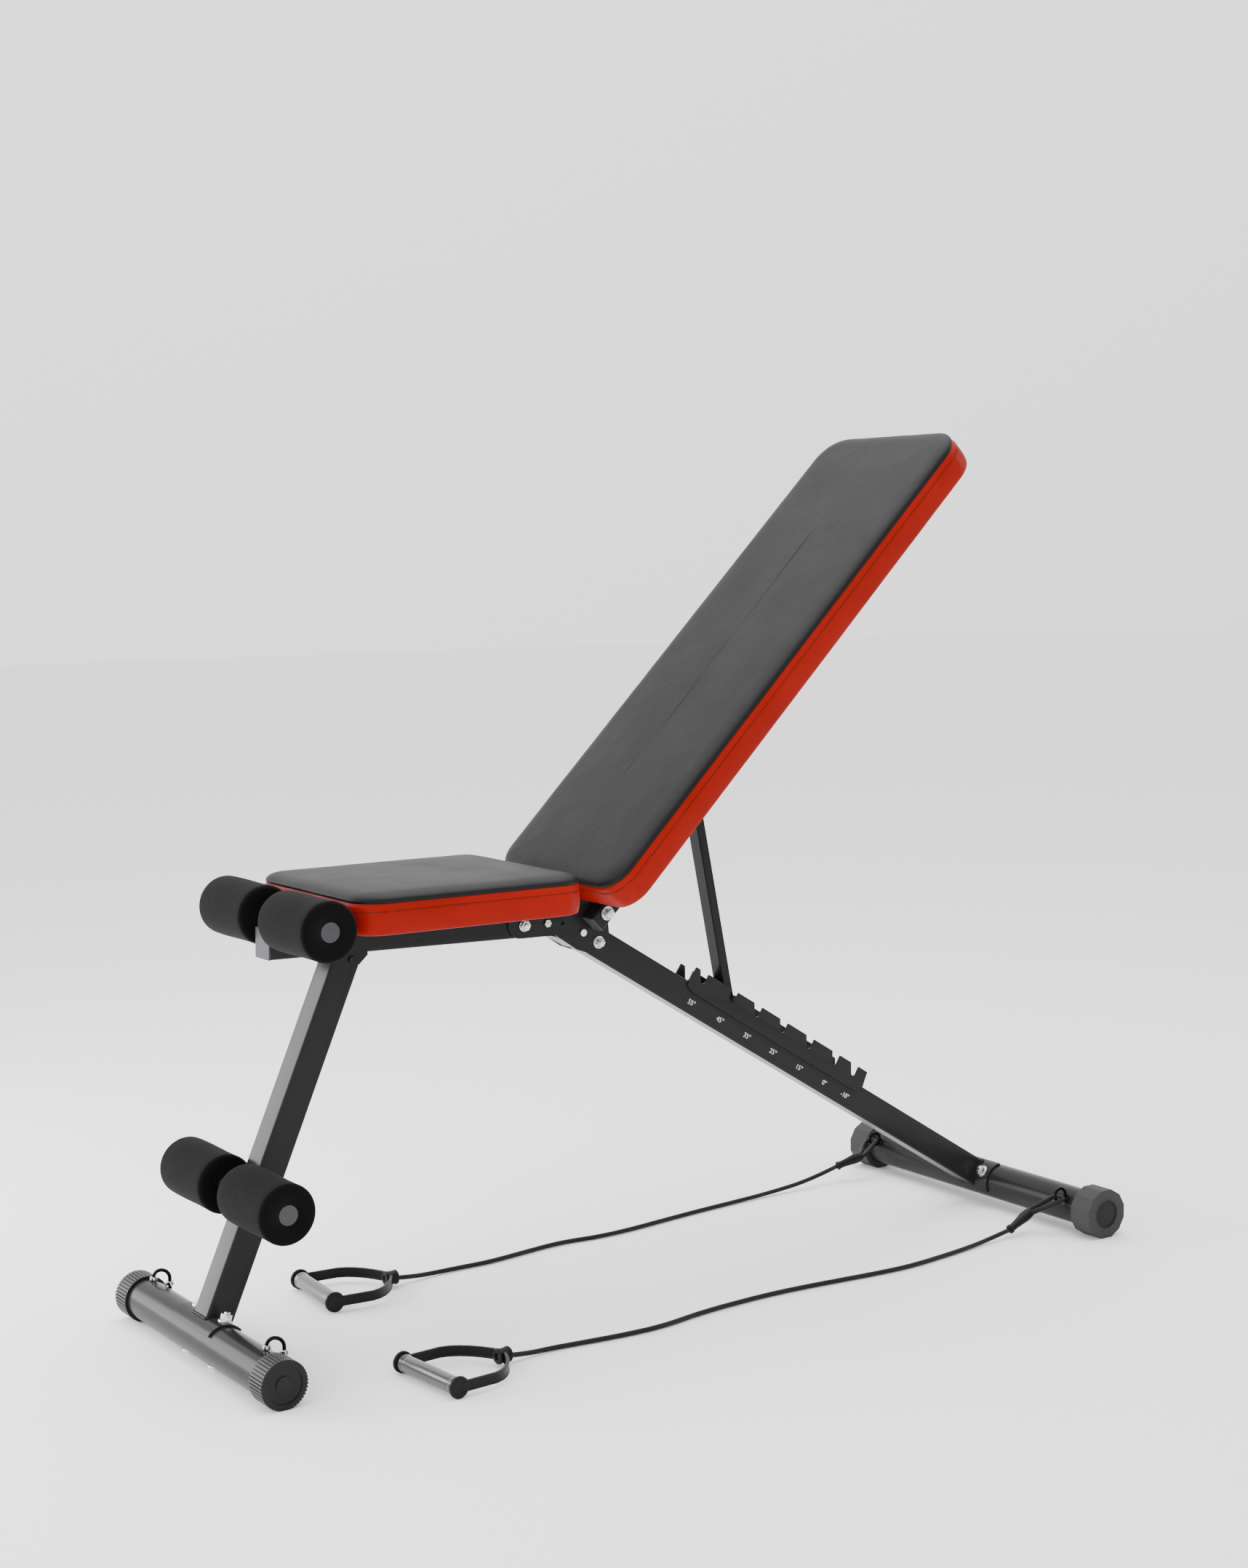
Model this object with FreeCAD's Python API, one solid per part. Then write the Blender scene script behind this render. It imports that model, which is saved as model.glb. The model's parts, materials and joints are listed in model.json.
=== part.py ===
import FreeCAD, Part
import math
import os

# Decline sit up bench. Millimetres, +Z up, X from the roller end to the back foot, Y across.
# The origin is on the floor under the middle of the bench.

V = FreeCAD.Vector
os.makedirs("parts", exist_ok=True)

# ---------------------------------------------------------------- driving dimensions
FRONT_X, FRONT_Z = -677.5, 31.5      # front foot axis
FRONT_R, FRONT_HALF = 28.0, 230.0    # front foot tube radius, half width over the caps
REAR_X, REAR_Z = 672.4, 36.8         # back foot axis
REAR_R, REAR_HALF = 27.5, 282.7      # back foot tube radius, half width over the caps
FOOT_WALL = 2.5
CORNER = 3.0                         # outside corner radius of the big tubes

LEG_LEAN = 23.3                      # front leg from vertical, degrees
TUBE = 40.0                          # square section of the leg and of the seat tube
WALL = 2.5
SEAT_X, SEAT_Z = -582.8, 519.9       # front lower corner line of the seat tube
SEAT_TILT = 1.16
SEAT_LENGTH = 454.5

PLATE_IN, PLATE_OUT = 20.0, 23.0     # hinge plates, inner and outer faces
FOLD_X, FOLD_Z = -74.6, 494.5        # pivot of the back beam
BACK_X, BACK_Z = -77.4, 539.5        # pivot of the backrest
SEAT_BOLTS = ((-197.4, 530.0), (-160.4, 529.6))
LOCK_S = -31.0                       # lock pin, along the beam from its pivot

BEAM_H, BEAM_HALF_W = 42.0, 18.0
BEAM_DROP = math.degrees(math.atan2(FOLD_Z - REAR_Z, REAR_X - FOLD_X))
BEAM_RUN = math.hypot(FOLD_Z - REAR_Z, REAR_X - FOLD_X)

RACK_IN, RACK_OUT = 18.0, 21.0
PIN_OFF = 32.5                       # height of the strut pin above the beam's centre line
PIN_R = 5.0
STRUT_A, STRUT_L = 250.0, 336.0      # strut pivot up the rails, and strut length
BACK_ANGLE, BACK_LOW = 45.0, -10.0   # the stored setting and the lowest one
OTHER_NOTCHES = (196.5, 312.0, 368.5, 427.0, 486.0)

RAIL = 25.0
RAIL_IN = 24.0
RAIL_START, RAIL_END = -21.0, 800.0

SEAT_PAD = (-519.4, -173.4, 154.0, 559.5, 616.0)
BACK_PAD = (-6.0, 880.0, 154.0, 29.0, 86.0)
BOARD_T = 12.0

UPPER_X, UPPER_Z = -564.7, 572.1     # upper roller bar
LOWER_UP = 191.6                     # lower roller bar, up the leg from the front foot
BAR_R = 12.5
FOAM_R, FOAM_IN, FOAM_OUT = 39.9, 25.5, 157.0

CORD_R = 3.5


# ---------------------------------------------------------------- helpers
def box(x0, x1, y0, y1, z0, z1):
    return Part.makeBox(x1 - x0, y1 - y0, z1 - z0, V(x0, y0, z0))


def bar(x0, x1, y0, y1, z0, z1, r):
    """A box whose four longest edges are rounded."""
    plain = box(x0, x1, y0, y1, z0, z1)
    long_edges = [e for e in plain.Edges if abs(e.Length - max(x1 - x0, y1 - y0, z1 - z0)) < 0.001]
    return plain.makeFillet(r, long_edges)


def rod(x, z, r, y0, y1):
    return Part.makeCylinder(r, y1 - y0, V(x, y0, z), V(0, 1, 0))


def placed(shape, x, z, tilt):
    out = shape.copy()
    out.Placement = FreeCAD.Placement(V(x, 0, z), FreeCAD.Rotation(V(0, 1, 0), tilt))
    return out


def on_beam(shape):
    return placed(shape, FOLD_X, FOLD_Z, BEAM_DROP)


def on_rail(shape):
    return placed(shape, BACK_X, BACK_Z, -BACK_ANGLE)


def on_seat(shape):
    return placed(shape, SEAT_X, SEAT_Z, SEAT_TILT)


def prism_y(points, y0, y1):
    corners = [V(x, y0, z) for x, z in points]
    wire = Part.makePolygon(corners + [corners[0]])
    return Part.Face(wire).extrude(V(0, y1 - y0, 0))


def both(shape):
    return [shape, shape.mirror(V(0, 0, 0), V(0, 1, 0))]


def hexagon(x, z, r, y0, y1):
    pts = [(x + r * math.cos(math.radians(60 * k)), z + r * math.sin(math.radians(60 * k)))
           for k in range(6)]
    return prism_y(pts, y0, y1)


def cut(shape, *tools):
    for tool in tools:
        shape = shape.cut(tool)
    return shape


def fuse(first, *rest):
    for item in rest:
        first = first.fuse(item)
    return first.removeSplitter()


def save(name, *shapes):
    solids = []
    for shape in shapes:
        solids += shape.Solids
    out = solids[0] if len(solids) == 1 else Part.makeCompound(solids)
    out.exportStep("parts/" + name + ".step")
    print(name, len(solids), round(sum(s.Volume for s in solids)))


def bolt_y(x, z, r, head_r, y_half, head_t):
    shaft = rod(x, z, r, -y_half - head_t, y_half + head_t)
    head = hexagon(x, z, head_r, -y_half - head_t, -y_half - 0.02)
    nut = hexagon(x, z, head_r, y_half + 0.02, y_half + head_t)
    return fuse(shaft, head, nut)


def sector(x, z, r0, r1, half_y, middle, spread):
    ring = cut(rod(x, z, r1, -half_y, half_y), rod(x, z, r0, -half_y, half_y))
    far = 3 * r1
    pts = [(x, z)]
    for turn in (-spread, 0, spread):
        a = math.radians(middle + turn)
        pts.append((x + far * math.cos(a), z + far * math.sin(a)))
    return ring.common(prism_y(pts, -half_y, half_y))


def tube_path(points, label, r):
    pts = [V(*p) for p in points]
    edges = []
    last = pts[0]
    radii = []
    total = 0.0
    for i in range(1, len(pts) - 1):
        a = pts[i - 1] - pts[i]
        b = pts[i + 1] - pts[i]
        turn = math.pi - a.getAngle(b)
        reach = 0.45 * min(a.Length, b.Length)
        radius = reach / math.tan(turn / 2)
        radii.append(radius)
        start = pts[i] + a.normalize() * reach
        end = pts[i] + b.normalize() * reach
        to_middle = (a + b).normalize()
        middle = pts[i] + to_middle * (radius / math.cos(turn / 2) - radius)
        edges.append(Part.LineSegment(last, start).toShape())
        edges.append(Part.Arc(start, middle, end).toShape())
        total += (start - last).Length + radius * turn
        last = end
    edges.append(Part.LineSegment(last, pts[-1]).toShape())
    total += (pts[-1] - last).Length
    spine = Part.Wire(edges)
    across = Part.Wire([Part.makeCircle(r, pts[0], pts[1] - pts[0])])
    solid = spine.makePipeShell([across], True, False)
    ratio = solid.Volume / (math.pi * r * r * total)
    print(label, "length", round(total, 1), "least radius", round(min(radii), 1),
          "volume ratio", round(ratio, 4))
    return solid


def rounded_pad(x0, x1, half_y, z0, z1, r_start, r_end, r_top):
    pad = box(x0, x1, -half_y, half_y, z0, z1)
    for edge_x, radius in ((x0, r_start), (x1, r_end)):
        upright = [e for e in pad.Edges
                   if abs(e.BoundBox.XMin - edge_x) < 0.01 and abs(e.BoundBox.XMax - edge_x) < 0.01
                   and e.BoundBox.ZLength > 5 and e.BoundBox.YLength < 0.01]
        pad = pad.makeFillet(radius, upright)
    if r_top > 0:
        rim = [e for e in pad.Edges if e.BoundBox.ZMin > z1 - 0.01]
        pad = pad.makeFillet(r_top, rim)
    return pad


# ---------------------------------------------------------------- front foot
lean = math.radians(LEG_LEAN)
front_bolts = []
front_bolt_holes = []
FRONT_BOLT_LEAN = 17.0
for y in (-40.0, 40.0):
    shaft = Part.makeCylinder(4.0, 74.0 - 1.2, V(FRONT_X, y, 1.2), V(0, 0, 1))
    head = Part.makeCylinder(8.0, 2.2, V(FRONT_X, y, 1.2), V(0, 0, 1))
    shell = cut(rod(FRONT_X, FRONT_Z, 33.2, y - 12, y + 12), rod(FRONT_X, FRONT_Z, 31.05, y - 12, y + 12))
    washer = shell.common(Part.makeCylinder(10.0, 20.0, V(FRONT_X, y, 55.0), V(0, 0, 1)))
    nut = Part.makeCylinder(7.4, 6.8, V(FRONT_X, y, 64.4), V(0, 0, 1))
    for k in range(6):
        a = math.radians(60 * k)
        side = Part.makeBox(6, 20, 10, V(6.5, -10, 62))
        side.Placement = FreeCAD.Placement(V(FRONT_X, y, 0), FreeCAD.Rotation(V(0, 0, 1), math.degrees(a)))
        nut = nut.cut(side)
    hole = Part.makeCylinder(4.1, 80.0, V(FRONT_X, y, -2.0), V(0, 0, 1))
    bolt = fuse(shaft, head, washer, nut)
    for shape in (bolt, hole):
        shape.rotate(V(FRONT_X, y, FRONT_Z), V(0, 1, 0), FRONT_BOLT_LEAN)
    front_bolts.append(bolt)
    front_bolt_holes.append(hole)
save("front_foot_bolts", *front_bolts)

EYE_R, EYE_WIRE = 11.0, 2.5
eye_holes = []
for side, label in ((-1, "near"), (1, "far")):
    y = 176.0 * side
    turn = math.radians(32)
    dx, dy = math.cos(turn), -math.sin(turn)
    cx, cz = -663.4, 63.5
    ends = [V(cx + k * EYE_R * dx, y + k * EYE_R * dy, cz) for k in (-1, 1)]
    arch = Part.Arc(ends[0], V(cx, y, cz + EYE_R), ends[1]).toShape()
    feet = [V(e.x, e.y, 40.0) for e in ends]
    path = Part.Wire([Part.LineSegment(feet[0], ends[0]).toShape(), arch,
                      Part.LineSegment(ends[1], feet[1]).toShape()])
    ring = Part.Wire([Part.makeCircle(EYE_WIRE, feet[0], V(0, 0, 1))])
    loop = path.makePipeShell([ring], True, False)
    nuts = []
    for foot, base in zip(feet, (60.1, 53.8)):
        nuts.append(Part.makeCylinder(5.2, 4.6, V(foot.x, foot.y, base), V(0, 0, 1)))
        eye_holes.append(Part.makeCylinder(2.6, 50.0, V(foot.x, foot.y, 34.0), V(0, 0, 1)))
    save("front_eyelet_" + label, fuse(loop, *nuts))

foot = cut(rod(FRONT_X, FRONT_Z, FRONT_R, -226, 226),
           rod(FRONT_X, FRONT_Z, FRONT_R - FOOT_WALL, -230, 230), *front_bolt_holes)
save("front_foot_tube", cut(foot, *eye_holes))

RIBS = 44
RIB_PROFILE = ((0.02, 32.0), (0.66, 32.0), (0.74, 30.4), (0.94, 30.4))
cap_pts = []
for k in range(RIBS):
    for part, r in RIB_PROFILE:
        a = 2 * math.pi * (k + part) / RIBS
        cap_pts.append((FRONT_X + r * math.cos(a), FRONT_Z + r * math.sin(a)))
front_cap = prism_y(cap_pts, -FRONT_HALF, -195.0)
front_cap = cut(front_cap, rod(FRONT_X, FRONT_Z, 28.05, -226.05, -190),
                box(FRONT_X - 40, FRONT_X + 40, -240, -190, -5, 0))
dish = cut(rod(FRONT_X, FRONT_Z, 24.5, -231, -228.6), rod(FRONT_X, FRONT_Z, 11.5, -231, -228.6))
front_cap = front_cap.cut(dish)
near_cap, far_cap = both(front_cap)
save("front_cap_near", near_cap)
save("front_cap_far", far_cap)

saddle = sector(FRONT_X, FRONT_Z, 28.03, 31.0, 58.0, 90.0, 50.0)
save("front_saddle", cut(saddle, *front_bolt_holes))

leg = cut(bar(-20, 20, -20, 20, 0, 570, CORNER), box(-17.5, 17.5, -17.5, 17.5, -1, 571))
leg = placed(leg, FRONT_X, FRONT_Z, LEG_LEAN)
leg = cut(leg, rod(FRONT_X, FRONT_Z, 31.1, -60, 60), on_seat(box(-100, 500, -60, 60, 0, 200)))
LEG_BOLTS = ((-466.0, 509.5), (-474.0, 531.0))
leg = leg.cut(rod(LEG_BOLTS[0][0], LEG_BOLTS[0][1], 3.05, -30, 30))
save("front_leg", [s for s in leg.Solids if s.BoundBox.ZLength > 100][0])

# ---------------------------------------------------------------- seat tube and its bracket
seat_tube = on_seat(cut(bar(0, SEAT_LENGTH, -20, 20, 0, TUBE, CORNER),
                        box(-1, SEAT_LENGTH + 1, -17.5, 17.5, WALL, TUBE - WALL)))
for x, z in SEAT_BOLTS:
    seat_tube = seat_tube.cut(rod(x, z, 4.05, -30, 30))
seat_tube = seat_tube.cut(rod(LEG_BOLTS[1][0], LEG_BOLTS[1][1], 3.05, -30, 30))
save("seat_tube", seat_tube)
save("seat_tube_end_cap", on_seat(fuse(box(-2.5, 0, -20, 20, 0, TUBE),
                                       box(-1, 14, -17.4, 17.4, WALL + 0.1, TUBE - WALL - 0.1))))

bracket = prism_y([(-513, 512), (-495, 507), (-455, 502), (-442, 514), (-442, 542), (-508, 542)],
                  -22.5, -20.0)
for x, z in LEG_BOLTS:
    bracket = bracket.cut(rod(x, z, 3.05, -30, -15))
save("leg_bracket", *both(bracket))
save("leg_bracket_bolts", *[bolt_y(x, z, 3.0, 5.5, 22.5, 3.2) for x, z in LEG_BOLTS])

# ---------------------------------------------------------------- roller bars, plugs and foam
lower_x = FRONT_X + LOWER_UP * math.sin(lean) - (20 + BAR_R) * math.cos(lean)
lower_z = FRONT_Z + LOWER_UP * math.cos(lean) + (20 + BAR_R) * math.sin(lean)
for level, x, z in (("upper", UPPER_X, UPPER_Z), ("lower", lower_x, lower_z)):
    print(level, "roller axis", round(x, 2), round(z, 2))
    save(level + "_roller_bar", cut(rod(x, z, BAR_R, -152, 152), rod(x, z, 10.5, -160, 160)))
    plug = fuse(rod(x, z, 13.1, -156.5, -152.03), rod(x, z, 10.45, -153, -137))
    save(level + "_roller_plugs", *both(plug))
    foam = rod(x, z, FOAM_R, -FOAM_OUT, -FOAM_IN)
    rims = [e for e in foam.Edges if e.Length > 6 * FOAM_R and e.BoundBox.YLength < 0.01]
    foam = foam.makeFillet(4.0, rims)
    foam = cut(foam, rod(x, z, BAR_R + 0.05, -170, -10), rod(x, z, 13.5, -170, -151.6))
    near_foam, far_foam = both(foam)
    save("foam_" + level + "_near", near_foam)
    save("foam_" + level + "_far", far_foam)

# ---------------------------------------------------------------- seat pad
x0, x1, half_y, z0, z1 = SEAT_PAD
tube_block = on_seat(box(-10, 500, -90, 90, -50, TUBE))
save("seat_pad_supports",
     *[cut(box(x, x + 30, -60, 60, 545, z0), tube_block) for x in (-500.0, -226.0)])
board = rounded_pad(x0 + 5, x1 - 5, half_y - 5, z0, z0 + BOARD_T, 35, 35, 0)
save("seat_pad_board", board)
save("seat_pad_cover", cut(rounded_pad(x0, x1, half_y, z0, z1, 40, 40, 15), board))

# ---------------------------------------------------------------- hinge plates
drop = math.radians(BEAM_DROP)
lock_x = FOLD_X + LOCK_S * math.cos(drop)
lock_z = FOLD_Z - LOCK_S * math.sin(drop)
print("beam drop", round(BEAM_DROP, 3), "lock pin", round(lock_x, 2), round(lock_z, 2))
outline = [(-203.4, 512), (-146.4, 511), (-111.4, 487.5), (-80.8, 476.6), (-55.6, 494.5),
           (-59.4, 539.5), (-77.4, 550), (-90, 551.5), (-203.4, 552)]
plate = fuse(prism_y(outline, -PLATE_OUT, -PLATE_IN),
             rod(-203.4, 532, 20, -PLATE_OUT, -PLATE_IN),
             rod(FOLD_X, FOLD_Z, 19, -PLATE_OUT, -PLATE_IN),
             rod(BACK_X, BACK_Z, 18, -PLATE_OUT, -PLATE_IN))
for x, z in SEAT_BOLTS:
    plate = plate.cut(rod(x, z, 4.05, -30, -10))
plate = cut(plate, rod(FOLD_X, FOLD_Z, 6.02, -30, -10), rod(lock_x, lock_z, PIN_R + 0.08, -30, -10),
            rod(-134.6, 527.2, 2.5, -30, -10))
near_plate, far_plate = both(plate)
save("hinge_plate_near", near_plate)
save("hinge_plate_far", far_plate)
save("hinge_web", on_beam(box(-64, -28, -20, 20, -24.05, -21.05)))
SEAT_BOLT_HEADS = ((7.5, 5.5), (5.4, 3.8))
save("seat_tube_bolts", *[bolt_y(x, z, 4.0, head_r, PLATE_OUT, head_t)
                          for (x, z), (head_r, head_t) in zip(SEAT_BOLTS, SEAT_BOLT_HEADS)])
fold_parts = [rod(FOLD_X, FOLD_Z, 6.0, -PLATE_OUT - 0.5, PLATE_OUT + 0.5)]
fold_parts += both(rod(FOLD_X, FOLD_Z, 8.6, -PLATE_OUT - 1.6, -PLATE_OUT - 0.02))
fold_parts += both(hexagon(FOLD_X, FOLD_Z, 6.4, -PLATE_OUT - 8.0, -PLATE_OUT - 1.5))
save("fold_bolt", fuse(*fold_parts))

stud = rod(BACK_X, BACK_Z, 6.0, -60.0, -PLATE_OUT)
washer = rod(BACK_X, BACK_Z, 9.4, -51.4, -49.3)
nut = hexagon(BACK_X, BACK_Z, 7.6, -58.5, -51.3)
save("backrest_studs", *both(fuse(stud, washer, nut)))

pin = fuse(rod(lock_x, lock_z, PIN_R, -26.0, 30.0), rod(lock_x, lock_z, 7.6, 26.5, 36.5))
pull = Part.makeTorus(9.0, 1.3, V(lock_x, 34.2, lock_z - 14.5), V(1, 0, 0))
save("lock_pin", fuse(pin, pull))

# ---------------------------------------------------------------- back beam, rack and label
beam = cut(bar(-42, BEAM_RUN, -BEAM_HALF_W, BEAM_HALF_W, -21, 21, CORNER),
           box(-50, BEAM_RUN + 5, -15.5, 15.5, -18.5, 18.5))
beam = beam.cut(cut(box(-60, -20, -30, 30, -30, 30), rod(0, 0, 41.9, -30, 30)))
beam = cut(beam, rod(0, 0, 6.07, -30, 30), rod(LOCK_S, 0, PIN_R + 0.3, -30, 30))
# The lock pin's hole runs on as an arc about the pivot, out through the underside.
beam = beam.cut(sector(0, 0, -LOCK_S - PIN_R - 0.3, -LOCK_S + PIN_R + 0.3, 30.0, 212.0, 32.0))
beam = on_beam(beam).cut(rod(REAR_X, REAR_Z, 30.6, -60, 60))
save("back_beam", [s for s in beam.Solids if s.BoundBox.XLength > 300][0])


def notch_at(angle):
    a = math.radians(angle)
    px = BACK_X + STRUT_A * math.cos(a) - FOLD_X
    pz = BACK_Z + STRUT_A * math.sin(a) - FOLD_Z
    s = px * math.cos(drop) - pz * math.sin(drop)
    off = px * math.sin(drop) + pz * math.cos(drop)
    return s + math.sqrt(STRUT_L ** 2 - (off - PIN_OFF) ** 2)


def strut_heading(angle):
    a = math.radians(angle)
    s = notch_at(angle)
    qx = FOLD_X + s * math.cos(drop) + PIN_OFF * math.sin(drop)
    qz = FOLD_Z - s * math.sin(drop) + PIN_OFF * math.cos(drop)
    return math.degrees(math.atan2(qz - BACK_Z - STRUT_A * math.sin(a),
                                   qx - BACK_X - STRUT_A * math.cos(a)))


rest_s, low_s = notch_at(BACK_ANGLE), notch_at(BACK_LOW)
heading = strut_heading(BACK_ANGLE)
swing = strut_heading(BACK_LOW) - heading
print("notches", round(rest_s, 2), round(low_s, 2), "strut heading", round(heading, 3),
      "coupling ratio", round(-1 - swing / (BACK_ANGLE - BACK_LOW), 5))

rack = prism_y([(174, 14), (188, 8.5), (548, 8.5), (557, 18), (553, 44), (176, 44)],
               -RACK_OUT, -RACK_IN)
gap = PIN_R + 0.2
lean_x, lean_z = math.sin(drop), math.cos(drop)
for s in (rest_s, low_s) + OTHER_NOTCHES:
    foot_s, foot_o = s - gap * lean_z, PIN_OFF - gap * lean_x
    rise = 48.0 - foot_o
    slot = prism_y([(s, PIN_OFF), (s + gap, PIN_OFF), (s + gap, 48.0),
                    (foot_s - rise * lean_x / lean_z, 48.0), (foot_s, foot_o)], -30, -10)
    rack = cut(rack, slot, rod(s, PIN_OFF, gap, -30, -10))
near_rack, far_rack = both(rack)
save("rack_plate_near", on_beam(near_rack))
save("rack_plate_far", on_beam(far_rack))
save("angle_label", on_beam(box(181, 553, -18.3, -18.0, -13.5, 3.5)))

# ---------------------------------------------------------------- back foot
bolt_dir = math.radians(180 - 36)
bolt_v = V(math.cos(bolt_dir), 0, math.sin(bolt_dir))
rear_bolts = []
rear_bolt_holes = []
for y in (-33.0, 33.0):
    centre = V(REAR_X, y, REAR_Z)
    shaft = Part.makeCylinder(4.0, 71.5, centre - bolt_v * 30.5, bolt_v)
    head = Part.makeCylinder(8.5, 2.6, centre - bolt_v * 30.5, bolt_v)
    shell = cut(rod(REAR_X, REAR_Z, 32.6, y - 12, y + 12), rod(REAR_X, REAR_Z, 30.55, y - 12, y + 12))
    washer = shell.common(Part.makeCylinder(9.5, 30.0, centre + bolt_v * 10.0, bolt_v))
    nut = Part.makeCylinder(7.2, 6.5, centre + bolt_v * 32.0, bolt_v)
    rear_bolts.append(fuse(shaft, head, washer, nut))
    rear_bolt_holes.append(Part.makeCylinder(4.1, 90.0, centre - bolt_v * 45.0, bolt_v))
save("back_foot_bolts", *rear_bolts)

eye_dir = math.radians(180 - 31)
eye_v = V(math.cos(eye_dir), 0, math.sin(eye_dir))
rear_foot = cut(rod(REAR_X, REAR_Z, REAR_R, -278.6, 278.6),
                rod(REAR_X, REAR_Z, REAR_R - FOOT_WALL, -290, 290), *rear_bolt_holes)
for side, label in ((-1, "near"), (1, "far")):
    centre = V(REAR_X, 220.0 * side, REAR_Z)
    stem = Part.makeCylinder(3.0, 18.0, centre + eye_v * 14.0, eye_v)
    collar = Part.makeCylinder(6.5, 3.6, centre + eye_v * 27.65, eye_v)
    ring = Part.makeTorus(10.5, 2.5, centre + eye_v * 42.5, V(0, 1, 0))
    save("back_eyelet_" + label, fuse(stem, collar, ring))
    rear_foot = rear_foot.cut(Part.makeCylinder(3.1, 30.0, centre + eye_v * 12.0, eye_v))
save("back_foot_tube", rear_foot)
ring_x = REAR_X + 42.5 * eye_v.x
ring_z = REAR_Z + 42.5 * eye_v.z

apothem = REAR_Z
corner = apothem / math.cos(math.radians(15))
dodecagon = [(REAR_X + corner * math.cos(math.radians(15 + 30 * k)),
              REAR_Z + corner * math.sin(math.radians(15 + 30 * k))) for k in range(12)]
rear_cap = prism_y(dodecagon, -REAR_HALF, -REAR_HALF + 39.0)
rear_cap = cut(rear_cap, rod(REAR_X, REAR_Z, 27.55, -278.65, -240), rod(REAR_X, REAR_Z, 21.0, -290, -281.2))
near_cap, far_cap = both(rear_cap)
save("back_cap_near", near_cap)
save("back_cap_far", far_cap)
rear_saddle = sector(REAR_X, REAR_Z, 27.53, 30.5, 48.0, 180 - BEAM_DROP, 57.0)
save("back_saddle", cut(rear_saddle, *rear_bolt_holes))

# ---------------------------------------------------------------- backrest
rail = cut(bar(RAIL_START, RAIL_END, -RAIL_IN - RAIL, -RAIL_IN, -12.5, 12.5, 2.0),
           box(RAIL_START - 1, RAIL_END + 1, -RAIL_IN - RAIL + 2, -RAIL_IN - 2, -10.5, 10.5))
rail = cut(rail, rod(0, 0, 6.06, -60, -10), rod(STRUT_A, 0, 5.02, -60, -10))
near_rail, far_rail = both(rail)
save("back_rail_near", on_rail(near_rail))
save("back_rail_far", on_rail(far_rail))
caps = []
for x, inner in ((RAIL_START, 9.0), (RAIL_END, -14.0)):
    out = math.copysign(2.0, -inner)
    flange = box(min(x, x + out), max(x, x + out), -RAIL_IN - RAIL, -RAIL_IN, -12.5, 12.5)
    plug = box(min(x, x + inner), max(x, x + inner), -46.9, -26.1, -10.4, 10.4)
    caps += both(fuse(flange, plug))
save("back_rail_caps", *[on_rail(c) for c in caps])
bars = [cut(box(x, x + 30, -110, 110, 12.5, 29), box(x + 2, x + 28, -111, 111, 14.5, 27))
        for x in (90.0, 430.0, 765.0)]
save("back_crossbars", *[on_rail(b) for b in bars])
x0, x1, half_y, z0, z1 = BACK_PAD
board = rounded_pad(x0 + 5, x1 - 5, half_y - 5, z0, z0 + BOARD_T, 35, 45, 0)
save("back_pad_board", on_rail(board))
save("back_pad_cover", on_rail(cut(rounded_pad(x0, x1, half_y, z0, z1, 40, 50, 15), board)))

# ---------------------------------------------------------------- strut
save("strut_pivot_bolt", on_rail(bolt_y(STRUT_A, 0, 5.0, 8.5, 49.0, 6.0)))
sleeve = cut(rod(STRUT_A, 0, 8.0, -23.95, -12.1), rod(STRUT_A, 0, 5.02, -30, -10))
save("strut_spacers", *[on_rail(s) for s in both(sleeve)])
top = on_rail(Part.Vertex(STRUT_A, 0, 0)).Point
strut = fuse(bar(0, STRUT_L, -12, 12, -7.5, 7.5, 1.5), rod(0, 0, 7.5, -12, 12), rod(STRUT_L, 0, 7.5, -12, 12))
strut = cut(strut, box(12, STRUT_L - 12, -10, 10, -5.5, 5.5), rod(0, 0, 5.06, -20, 20),
            rod(STRUT_L, 0, PIN_R + 0.02, -20, 20))
save("strut", placed(strut, top.x, top.z, -heading))
save("strut_pin", placed(rod(STRUT_L, 0, PIN_R, -17.5, 17.5), top.x, top.z, -heading))

# ---------------------------------------------------------------- resistance cords
CORD_NEAR = ((555.6, -195, 12), (501.6, -201, 5.5), (447.6, -211, 4), (384.6, -221.5, 4),
             (322.6, -229.5, 4), (259.6, -227, 4), (197.6, -222, 4), (138.6, -217.5, 4),
             (78.6, -216, 4), (13.6, -220, 4), (-50.4, -227, 4), (-119.9, -243, 4),
             (-180.4, -243.5, 4), (-240.4, -238, 4), (-293.4, -232.5, 4), (-337.4, -240, 7),
             (-382.3, -246.1, 14.4))
CORD_FAR = ((551.6, 215, 26), (489.6, 209.5, 13), (402.6, 209, 5), (327.6, 201.5, 4),
            (252.6, 193, 4), (177.6, 181.5, 4), (102.6, 169, 4), (40.6, 165, 4),
            (-19.9, 173, 4), (-89.4, 162, 4), (-158.4, 149.5, 4), (-207.4, 150.5, 4),
            (-255.4, 148, 4.5), (-295.4, 141.5, 7.5), (-339.3, 136.1, 14.4))
CLIP_TOP = {"near": (600.6, -190, 30), "far": (589.6, 200, 40)}
HANDLES = {"near": (-487.9, -255.3, 5.0), "far": (-445.0, 143.5, -4.0)}
GRIP_Z = 14.4
DISC_R = 14.3
BAND_HALF = 7.1

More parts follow.
